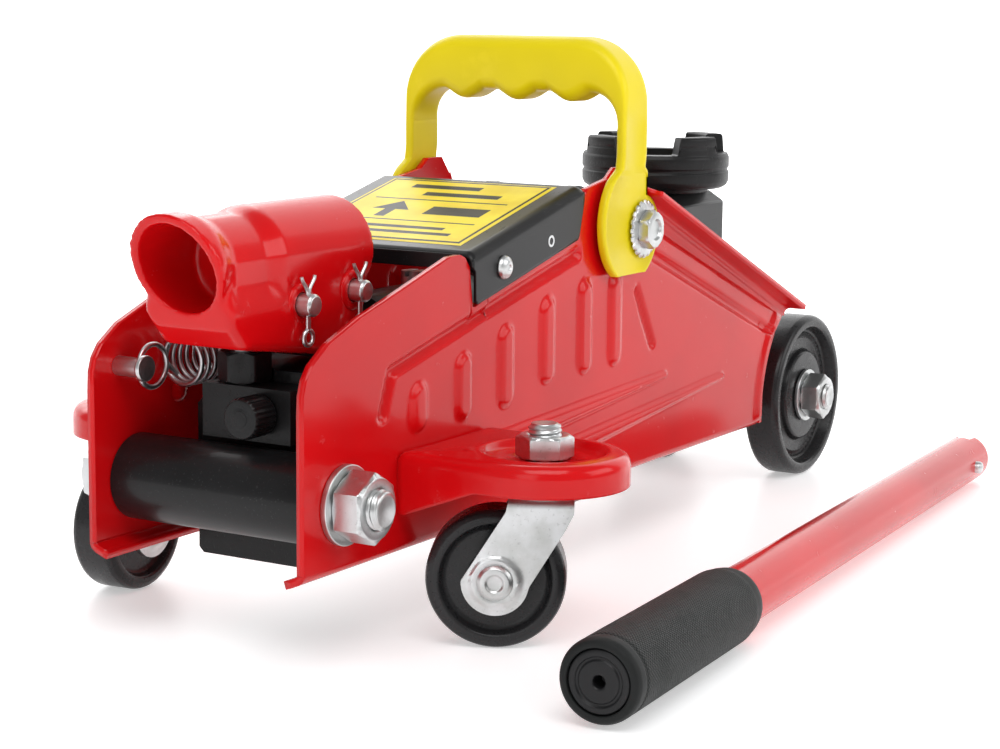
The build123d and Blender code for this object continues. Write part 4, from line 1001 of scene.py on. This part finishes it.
def position_map(piece, centre, axis, length):
    """u round an axis and v along it for each vertex of a piece, worked out from where the vertex is."""
    co = np.zeros(len(piece.data.vertices) * 3)
    piece.data.vertices.foreach_get("co", co)
    local = co.reshape(-1, 3) * 1000 - SHIFT - centre
    a, b, d = across(axis)
    u = np.arctan2(local @ b, local @ a) / (2 * np.pi) + 0.5
    return np.column_stack((u, local @ d / length))


def build_cover():
    new_piece("cover-folded", [cover_sheet()], "frame", "black_paint", ("cover",), solidify=1.2, sharp=50)
    lips = [slab((-53.8, -42, 129.2), (-52.4, 42, 134.8), 0.5)]
    new_piece("cover-rear-lip", lips, "frame", "black_paint")
    holes = [bar((3, s * 47.6, 135.3), (3, s * 47.95, 135.3), 2.3, 0.05, 32, 1.4) for s in (1, -1)]
    new_piece("cover-hole-rims", holes, "frame", "zinc")
    shape, uv = label_sheet()
    label = new_piece("label-plate-printed", [shape], "frame", "label_yellow", ("label_plate",))
    co = np.zeros(len(label.data.vertices) * 3)
    label.data.vertices.foreach_get("co", co)
    local = co.reshape(-1, 3) * 1000 - SHIFT
    with_map(label, "Print", np.column_stack(((38 - local[:, 1]) / 76, (local[:, 0] + 47) / 71)))
    heads = []
    for s in (1, -1):
        dome = [(0, 0), (0, 4.4), (0.6, 4.5), (1.7, 4.0), (2.6, 2.6), (2.9, 1.2), (2.2, 1.0), (2.2, 0)]
        heads.append(turned(softened(dome, 0.2, 2), (-32.6, s * 47.85, 128.6), (0, s, 0), 48))
        heads.append(bar((-32.6, s * 41.5, 128.6), (-32.6, s * 47.9, 128.6), 2.45, 0.2, 32))
    new_piece("cover-screws-domed", heads, "frame", "zinc", ("cover_screws",))


# ---- Handle socket, its pins and split pins ----
def waisted(socket):
    """Necks the casting in behind its flared mouth: outer points above the lobe move towards the bore's axis by
    2.2 mm times a smooth step up and down along x, and the lobe's flanks swell by 1.2 mm between its two bolts."""
    co = np.zeros(len(socket.data.vertices) * 3, np.float32)
    socket.data.vertices.foreach_get("co", co)
    x, y, z = (co.reshape(-1, 3) * 1000 - SHIFT).T
    up = z - 137.0
    radius = np.maximum(np.hypot(y, up), 1.0)
    neck = smoothstep(x, -164.0, -153.0) * (1 - smoothstep(x, -138.0, -127.0))
    inward = 2.2 * neck * smoothstep(radius, 16.6, 18.4) * smoothstep(up, -16.0, -6.0)
    swell = 1.2 * smoothstep(np.abs(y), 15.0, 18.5) * np.clip(np.sin(np.pi * np.clip((x + 158) / 76, 0, 1)), 0, 1)
    swell = swell * (1 - smoothstep(z, 117.0, 128.0))
    moved = np.column_stack((0 * x, -inward * y / radius + swell * np.sign(y), -inward * up / radius))
    socket.data.vertices.foreach_set("co", (co + (moved / 1000).ravel()).astype(np.float32))
    socket.data.update()


def build_socket():
    bosses = []
    for x, z in SOCKET_PINS:
        for s in (1, -1):
            ring = [(0, 4.3), (0, 7.4), (1.0, 7.2), (1.5, 6.2), (1.5, 4.3), (0, 4.3)]
            bosses.append(turned(softened(ring, 0.4, 3), (x, s * 18.8, z), (0, s, 0), 64))
    socket = reworked("handle_socket", "handle_socket", "red_enamel", voxel=0.9, name="handle-socket-cast")
    waisted(socket)
    join_shapes(socket, bosses)
    for node, (x, z) in zip(("socket_pivot_pin", "pump_pin"), SOCKET_PINS):
        body = "handle_socket"
        head = [(0, 0), (0, 3.2), (0.9, 4.0), (51.1, 4.0), (52.0, 3.2), (52.0, 0)]
        new_piece(node.replace("_", "-") + "-turned", [turned(softened(head, 0.3, 3), (x, -26, z), (0, 1, 0), 64)], body,
                  "zinc", (node,))
    wires = []
    for x, z in SOCKET_PINS:
        y = -22.5
        wires.append(ring_wire((x, y, z - 11.4), 2.6, 0.85, (0, 1, 0), (100, 440), 40))
        for s in (1, -1):
            t = np.linspace(0, 1, 30)[:, None]
            spread = s * (0.45 + 3.4 * smoothstep(t, 0.68, 1.0) ** 1.2)
            path = np.concatenate((x + spread, y + 0 * t, z - 9.0 + 19.0 * t), 1)
            wires.append(swept(path, 0.7, np.broadcast_to((0.0, 1.0, 0.0), path.shape), 10))
    new_piece("split-pins-bent", wires, "handle_socket", "zinc", ("split_pins",))


# ---- Hydraulic unit ----
def build_hydraulics():
    reworked("hydraulic_base", "frame", "black_casting", 1.2, 3)
    reworked("hydraulic_cylinder", "frame", "black_paint", 0.8, 2)
    for node, slot in (("cylinder_gland", "zinc"), ("pump_barrel", "black_casting"), ("filler_plug", "zinc")):
        reworked(node, "frame", slot, 0.5, 2)
    knob = [(13, 0), (12.4, 4.0), (12.4, 6.6), (11.4, 7.4), (1.4, 7.4), (0.4, 6.6), (0.4, 0)]
    shape = turned(softened(knob[::-1], 0.25, 2), (-131.3, -10, 84), (-1, 0, 0), 144,
                   lambda p, phi: 1 - 0.05 * (0.5 + 0.5 * np.cos(24 * phi))[None] * (p[:, 1][:, None] > 7.0))
    stem = bar((-132, -10, 84), (-120, -10, 84), 3.45, 0.3, 40)
    tip = bar((-144.0, -10, 84), (-143.0, -10, 84), 3.0, 0.2, 40)
    new_piece("release-valve-knurled", [shape, stem, tip], "release_valve", "black_casting", ("release_valve",), sharp=30)
    reworked("pump_plunger", "pump_plunger", "bright_steel", 0.5, 2)
    for node, slot in (("ram_rod", "bright_steel"), ("ram_piston", "bright_steel"), ("piston_seal", "seal_rubber"),
                       ("crosshead", "black_casting"), ("drive_pin", "bright_steel")):
        reworked(node, "ram", slot, 0.4, 2)


# ---- Lift linkage ----
def build_linkage():
    reworked("lift_arm", "lift_arm", "black_paint", 1.0, 3)
    reworked("saddle_pin", "lift_arm", "zinc", 0.6, 2)
    reworked("lift_shaft", "frame", "bright_steel", 0.5, 2)
    reworked("rod_studs", "frame", "zinc", 0.4, 2)
    reworked("radius_rods", "radius_rods", "black_paint", 0.6, 2)
    reworked("saddle_bracket", "saddle_bracket", "black_paint", 1.2, 3)
    reworked("rod_pin", "saddle_bracket", "zinc", 0.4, 2)


def saddle_crown():
    """Cast saddle: a turned dish whose crown stands in four lugs. Profile points above the rim are lowered by
    the share of smoothstep(distance in angle from a gap's middle, 25, 28 degrees)."""
    outline = [(-29, 0), (-29, 8.4), (-28.4, 9.0), (-2.2, 9.0), (-2.2, 23.4), (-1.6, 24), (0, 24.6), (0, 30.4), (1.2, 32.4), (3.2, 33.4),
               (7.2, 33.5), (7.7, 32.9), (8.9, 32.9), (9.4, 33.5), (13.8, 33.5), (14.7, 33.1), (15.3, 32.7), (18.0, 32.7),
               (18.5, 32.3), (19.3, 32.3), (19.8, 32.7), (22.6, 32.7), (23.5, 31.8), (23.5, 25.4), (22.8, 24.3),
               (15.6, 24.0), (8.2, 24.0), (7.0, 23.2), (7.0, 12.4), (7.4, 12.0), (7.4, 9.6), (7.0, 9.2), (7.0, 0)]
    profile = softened(outline, 0.4, 2)
    points, faces = turned(profile, (SADDLE_X, 0, 143), (0, 0, 1), 288)
    shaped = points.reshape(len(profile), 288, 3).copy()
    a, b, _ = across((0, 0, 1))
    middle = np.array((SADDLE_X, 0, 0))
    angle = np.degrees(np.arctan2((shaped - middle)[..., 1], (shaped - middle)[..., 0]))
    away = np.abs((angle - 20 + 45) % 90 - 45)
    stand = smoothstep(away, 24.5, 27.5)
    over = shaped[..., 2] - 158.4
    shaped[..., 2] = np.where(over > 0, 158.4 + over * (0.02 + 0.98 * stand), shaped[..., 2])
    return shaped.reshape(-1, 3), faces


def build_saddle():
    new_piece("saddle-cast", [saddle_crown()], "saddle", "black_casting", ("saddle",), sharp=35)


# ---- Return spring ----
def spring_wires():
    """Tension spring: a helix of 15 turns about x whose end turns tighten, a stem to the drive pin, and a hook
    ring about each pin. Radius 9 falls to 5 over the last half turn at both ends."""
    turns, coil = 15.0, (-124.0, -66.0)
    t = np.linspace(0, 1, 15 * 44)[:, None]
    angle = 2 * np.pi * turns * t - np.pi / 2
    radius = 9.0 - 4.5 * (1 - smoothstep(np.minimum(t, 1 - t) * turns, 0.0, 0.6))
    x = coil[0] + (coil[1] - coil[0]) * t
    y, z = 33.0, 98.0
    radial = np.concatenate((0 * angle, np.cos(angle), np.sin(angle)), 1)
    path = np.concatenate((x, y + radius * radial[:, 1:2], z + radius * radial[:, 2:3]), 1)
    wires = [swept(path, 1.0, np.cross(np.broadcast_to((1.0, 0, 0), path.shape), radial), 10)]
    hook_x, drive_x = -137.5, 40.5
    wires.append(ring_wire((hook_x, y, z), 7.6, 1.0, (0, 1, 0)))
    stems = (((hook_x + 7.4, y, z), (coil[0], y, z - 4.5)), ((coil[1], y, z - 4.5), (drive_x - 6.0, y, 97.0)))
    for start, end in stems:
        s = np.linspace(0, 1, 24)[:, None]
        line = np.asarray(start) * (1 - s) + np.asarray(end) * s
        wires.append(swept(line, 1.0, np.broadcast_to((0.0, 1.0, 0.0), line.shape), 10))
    wires.append(ring_wire((drive_x, y, 97.0), 5.6, 1.0, (0, 1, 0)))
    return wires


def in_frame(x, y, z):
    """A point of the drawing frame, in metres in the row frame."""
    return tuple((np.array((x, y, z)) + SHIFT) / 1000)


def build_spring():
    spring = new_piece("return-spring-coiled", spring_wires(), "frame", "spring_wire", ("return_spring",))
    stretch(spring)
    head = [(0, 0), (0, 4.6), (1.4, 4.8), (2.4, 4.2), (2.6, 3.5), (13.2, 3.5), (13.2, 0)]
    pin = turned(softened(head, 0.3, 3), (-144, 30.1, 98), (0, 1, 0), 48)
    new_piece("spring-anchor-pin-headed", [pin], "frame", "zinc", ("spring_anchor_pin",))


def stretch(spring):
    """Takes the spring off its body and leaves it fixed where it was built; nothing makes it follow the drive pin or
    lengthen.
    """
    spring.parent = None
    spring.matrix_world = Matrix.Identity(4)
    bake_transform(spring)


# ---- Pump handle ----
def on_handle(t):
    return HANDLE_REAR + HANDLE_AXIS * t


def handle_end(profile, phi_count):
    """Tube wall whose open end is notched: points of the last 2.6 mm move back by the notch's depth of 7.5 mm where
    they lie within 3.6 mm of the plane through the axis that holds +Z."""
    points, faces = turned(profile, HANDLE_REAR, HANDLE_AXIS, phi_count)
    a, b, d = across(HANDLE_AXIS)
    local = points - HANDLE_REAR
    t = local @ d
    side = np.abs(local @ a)
    back = (smoothstep(t, HANDLE_LENGTH - 3.0, HANDLE_LENGTH - 2.6)) * (1 - smoothstep(side, 3.3, 3.9)) * 7.5
    return points - back[:, None] * d, faces


def build_pump_handle():
    length = HANDLE_LENGTH
    wall = [(60, 9.3), (40, 9.3), (40, 10.95), (110, 10.95), (length - 2.5, 10.95), (length - 2.0, 10.95), (length - 0.3, 10.9), (length, 10.5),
            (length, 9.6), (length - 0.4, 9.3), (length - 2.0, 9.3), (length - 2.5, 9.3), (60, 9.3)]
    new_piece("handle-tube-drawn", [handle_end(np.array(wall, float), 192)], "pump_handle", "red_enamel", ("handle_tube",), sharp=40)
    sleeve = [(60, 10.97), (0.3, 10.97), (0.0, 11.3), (0.0, 12.4), (0.5, 13.5), (2.2, 14.25), (5.5, 14.3), (6.4, 13.95), (7.4, 13.95), (8.2, 14.3),
              (105.0, 14.3), (107.0, 14.25), (109.0, 13.9), (113.0, 13.5), (116.2, 12.9), (117.6, 11.9), (118.0, 10.97), (60, 10.97)]
    grip = new_piece("handle-grip-sleeve", [turned(softened(sleeve, 0.7, 4), HANDLE_REAR, HANDLE_AXIS, 160)], "pump_handle",
                     "grip_foam", ("handle_grip",), sharp=60)
    with_map(grip, "Around", position_map(grip, HANDLE_REAR, HANDLE_AXIS, 118.0), seam=True)
    plug = [(10, 0), (10, 9.2), (4, 9.2), (4, 10.9), (1.6, 10.9), (0.6, 10.4), (0.4, 9.6), (0.4, 8.4), (1.1, 8.0), (1.1, 7.2), (0.5, 6.8),
            (0.5, 2.6), (1.0, 2.1), (7.5, 2.0), (7.5, 0)]
    new_piece("grip-end-cap-moulded", [turned(softened(plug, 0.3, 3), HANDLE_REAR, HANDLE_AXIS, 128)], "pump_handle",
              "black_plastic", ("grip_end_cap",))
    side = np.array((HANDLE_AXIS[1], -HANDLE_AXIS[0], 0.0))
    side /= np.linalg.norm(side)
    root = on_handle(length - 22.0)
    pin = [(2.0, 0), (2.0, 2.8), (12.6, 2.8), (13.6, 2.2), (13.95, 1.2), (13.95, 0)]
    new_piece("handle-button-domed", [turned(softened(pin, 0.4, 3), root, side, 40)], "snap_button", "zinc", ("handle_button",))


# ---- Floor, light and camera ----
def backdrop():
    """Seamless paper: flat floor, then a quarter circle of radius 1.5 m up into a wall, square to the camera."""
    yaw = math.radians(looks().camera_yaw)
    away = np.array((math.cos(yaw), math.sin(yaw), 0.0))
    right = np.array((math.sin(yaw), -math.cos(yaw), 0.0))
    turn = np.radians(np.linspace(0, 90, 24))
    reach = np.concatenate(((-6000, -1500, 0, 1000, 2000), 2600 + 1500 * np.sin(turn), (4100,)))
    rise = np.concatenate((np.zeros(5), 1500 - 1500 * np.cos(turn), (6000,)))
    width = np.linspace(-7000, 7000, 9)
    points = (reach[:, None, None] * away + width[None, :, None] * right + rise[:, None, None] * np.array((0, 0, 1.0)))
    return surface(points[:, ::-1])


def build_stage():
    vertices, faces = backdrop()
    mesh = bpy.data.meshes.new("studio-floor")
    mesh.from_pydata(((vertices + (SHIFT[0], SHIFT[1], SHIFT[2])) / 1000).tolist(), [], faces.tolist())
    mesh.shade_smooth()
    floor = bpy.data.objects.new("studio-floor", mesh)
    bpy.context.scene.collection.objects.link(floor)
    mesh.materials.append(studio_white("studio_white"))
    world = bpy.data.worlds.new("studio")
    world.use_nodes = True
    world.node_tree.nodes["Background"].inputs["Color"].default_value = (1.0, 1.0, 1.0, 1.0)
    light_path = world.node_tree.nodes.new("ShaderNodeLightPath")
    strength = world.node_tree.nodes.new("ShaderNodeMapRange")
    strength.inputs["To Min"].default_value, strength.inputs["To Max"].default_value = looks().ambient, 1.0
    world.node_tree.links.new(light_path.outputs["Is Camera Ray"], strength.inputs["Value"])
    world.node_tree.links.new(strength.outputs["Result"], world.node_tree.nodes["Background"].inputs["Strength"])
    bpy.context.scene.world = world
    softbox("key", (-700, -500, 1250), (60, 0, 60), looks().key_power, 1.1, 0.8)
    softbox("side", (500, -1300, 700), (80, 0, 60), looks().key_power * 0.55, 1.0, 0.7)
    softbox("rim", (500, 900, 900), (60, 0, 80), looks().key_power * 0.5, 1.2, 0.8)
    softbox("front", (-1500, -250, 480), (0, 0, 80), looks().key_power * 0.22, 0.7, 0.7)


def softbox(name, place, target, power, width, height):
    """Rectangular area light in the drawing frame, aimed at a point."""
    lamp = bpy.data.lights.new(name, "AREA")
    lamp.shape, lamp.size, lamp.size_y, lamp.energy = "RECTANGLE", width, height, power
    holder = bpy.data.objects.new(name, lamp)
    start, end = Vector(in_frame(*place)), Vector(in_frame(*target))
    holder.location = start
    holder.rotation_euler = (end - start).to_track_quat("-Z", "Y").to_euler()
    bpy.context.scene.collection.objects.link(holder)


def build_camera():
    s = looks()
    pitch, yaw, roll = (math.radians(v) for v in (s.camera_pitch, s.camera_yaw, s.camera_roll))
    ahead = Vector((math.cos(pitch) * math.cos(yaw), math.cos(pitch) * math.sin(yaw), -math.sin(pitch)))
    right = Vector((math.sin(yaw), -math.cos(yaw), 0.0))
    up = right.cross(ahead)
    turned_right = right * math.cos(roll) + up * math.sin(roll)
    turned_up = up * math.cos(roll) - right * math.sin(roll)
    axes = Matrix((turned_right, turned_up, -ahead)).transposed().to_4x4()
    data = bpy.data.cameras.new("view")
    data.sensor_fit, data.sensor_width, data.lens = "HORIZONTAL", 36.0, s.camera_lens
    data.clip_start, data.clip_end = 0.05, 50.0
    camera = bpy.data.objects.new("view", data)
    camera.matrix_world = Matrix.Translation(in_frame(*s.camera_place)) @ axes
    bpy.context.scene.collection.objects.link(camera)
    bpy.context.scene.camera = camera
    bpy.context.scene.view_settings.view_transform = "Standard"


# ---- What a user may change ----
def colour(name, default, description):
    return bpy.props.FloatVectorProperty(name=name, description=description, default=default, size=3, min=0.0, max=1.0,
                                         subtype="COLOR")


class JackLooks(bpy.types.PropertyGroup):
    """Colours, camera and light of the trolley jack."""
    red: colour("Enamel", (0.62, 0.003, 0.005), "Colour of the side plates, brackets, socket and pump handle")
    black: colour("Black paint", (0.006, 0.006, 0.0065), "Colour of the black painted and cast pieces")
    yellow: colour("Carry handle", (0.78, 0.63, 0.003), "Colour of the moulded carry handle")
    zinc: colour("Zinc", (0.66, 0.67, 0.68), "Colour of the plated nuts, washers and forks")
    camera_lens: bpy.props.FloatProperty(name="Lens", description="Focal length on a 36 mm sensor, in millimetres",
                                         default=83.63, min=10.0)
    camera_pitch: bpy.props.FloatProperty(name="Look down", description="Degrees that the camera looks down", default=9.19)
    camera_yaw: bpy.props.FloatProperty(name="Look round", description="Degrees from +X towards +Y that it looks",
                                        default=30.93)
    camera_roll: bpy.props.FloatProperty(name="Tilt", description="Degrees that the camera is tilted", default=0.59)
    camera_place: bpy.props.FloatVectorProperty(name="Camera place", description="Where the camera stands, in millimetres",
                                                default=(-767.64, -487.27, 226.83), size=3)
    key_power: bpy.props.FloatProperty(name="Key light", description="Power of the main soft light", default=10.5,
                                       min=0.0, unit="POWER")
    ambient: bpy.props.FloatProperty(name="Ambient", description="Strength of the white surround", default=0.36, min=0.0)


class PieceOperator:
    """What the piece operators share: each runs its own build function."""
    bl_options = {"REGISTER", "UNDO"}

    def execute(self, context):
        self.build()
        return {"FINISHED"}


class JACK_OT_plates(PieceOperator, bpy.types.Operator):
    """Pressed side plates with their flanges, wheel arches and narrow noses"""
    bl_idname, bl_label = "jack.plates", "Side plates"
    build = staticmethod(build_plates)


class JACK_OT_brackets(PieceOperator, bpy.types.Operator):
    """Pressed caster brackets with their studs, nuts and swivel races"""
    bl_idname, bl_label = "jack.brackets", "Caster brackets"
    build = staticmethod(build_brackets)


class JACK_OT_casters(PieceOperator, bpy.types.Operator):
    """Swivelling forks, rivets and wheels"""
    bl_idname, bl_label = "jack.casters", "Casters"
    build = staticmethod(build_casters)


class JACK_OT_front_wheels(PieceOperator, bpy.types.Operator):
    """Front wheels on their threaded axle, with washers and nuts"""
    bl_idname, bl_label = "jack.front_wheels", "Front wheels"
    build = staticmethod(build_front_wheels)


class JACK_OT_rear_tube(PieceOperator, bpy.types.Operator):
    """Cross tube and threaded tie rod, with washers and nuts"""
    bl_idname, bl_label = "jack.rear_tube", "Rear cross tube"
    build = staticmethod(build_rear_tube)


class JACK_OT_hydraulics(PieceOperator, bpy.types.Operator):
    """Hydraulic casting, cylinder, ram, pump and release valve"""
    bl_idname, bl_label = "jack.hydraulics", "Hydraulic unit"
    build = staticmethod(build_hydraulics)


class JACK_OT_linkage(PieceOperator, bpy.types.Operator):
    """Lift arm, radius rods and saddle bracket with their pins"""
    bl_idname, bl_label = "jack.linkage", "Lift linkage"
    build = staticmethod(build_linkage)


class JACK_OT_saddle(PieceOperator, bpy.types.Operator):
    """Cast saddle with four lugs"""
    bl_idname, bl_label = "jack.saddle", "Saddle"
    build = staticmethod(build_saddle)


class JACK_OT_spring(PieceOperator, bpy.types.Operator):
    """Return spring with hooked ends, and its anchor pin"""
    bl_idname, bl_label = "jack.spring", "Return spring"
    build = staticmethod(build_spring)


class JACK_OT_socket(PieceOperator, bpy.types.Operator):
    """Cast handle socket with its pins and split pins"""
    bl_idname, bl_label = "jack.socket", "Handle socket"
    build = staticmethod(build_socket)


class JACK_OT_cover(PieceOperator, bpy.types.Operator):
    """Folded cover with its printed plate and screws"""
    bl_idname, bl_label = "jack.cover", "Cover and label"
    build = staticmethod(build_cover)


class JACK_OT_carry_handle(PieceOperator, bpy.types.Operator):
    """Moulded carry handle with toothed washers and bolts"""
    bl_idname, bl_label = "jack.carry_handle", "Carry handle"
    build = staticmethod(build_carry_handle)


class JACK_OT_pump_handle(PieceOperator, bpy.types.Operator):
    """Loose pump handle: notched tube, knurled grip, end cap and snap button"""
    bl_idname, bl_label = "jack.pump_handle", "Pump handle"
    build = staticmethod(build_pump_handle)


class JACK_OT_stage(PieceOperator, bpy.types.Operator):
    """Seamless floor, soft lights and camera"""
    bl_idname, bl_label = "jack.stage", "Floor, lights and camera"

    @staticmethod
    def build():
        build_stage()
        build_camera()


OPERATORS = (JACK_OT_stage, JACK_OT_plates, JACK_OT_brackets, JACK_OT_casters, JACK_OT_front_wheels, JACK_OT_rear_tube,
             JACK_OT_hydraulics, JACK_OT_linkage, JACK_OT_saddle, JACK_OT_spring, JACK_OT_socket, JACK_OT_cover,
             JACK_OT_carry_handle, JACK_OT_pump_handle)


class JACK_PT_pieces(bpy.types.Panel):
    """Buttons for the pieces, and the colours, camera and light"""
    bl_idname, bl_label = "JACK_PT_pieces", "Trolley jack"
    bl_space_type, bl_region_type, bl_category = "VIEW_3D", "UI", "Trolley jack"

    def draw(self, context):
        for operator in OPERATORS:
            self.layout.operator(operator.bl_idname)
        for name in JackLooks.__annotations__:
            self.layout.prop(context.scene.jack_looks, name)


CLASSES = (JackLooks, *OPERATORS, JACK_PT_pieces)


def register():
    for cls in CLASSES:
        bpy.utils.register_class(cls)
    bpy.types.Scene.jack_looks = bpy.props.PointerProperty(type=JackLooks)


def unregister():
    del bpy.types.Scene.jack_looks
    for cls in reversed(CLASSES):
        bpy.utils.unregister_class(cls)


def dress_the_rest():
    """Every CAD node that no piece stands for gets the finish of its own slot."""
    slots = {part["node"]: part["material_slot"] for part in frame["record"]["subparts"]}
    for name, node in frame["nodes"].items():
        if not node.hide_render:
            node.data.materials.clear()
            node.data.materials.append(finish(slots[name]))


def main():
    register()
    for operator in OPERATORS:
        group, name = operator.bl_idname.split(".")
        getattr(getattr(bpy.ops, group), name)()
    dress_the_rest()


if __name__ == "__main__":
    main()
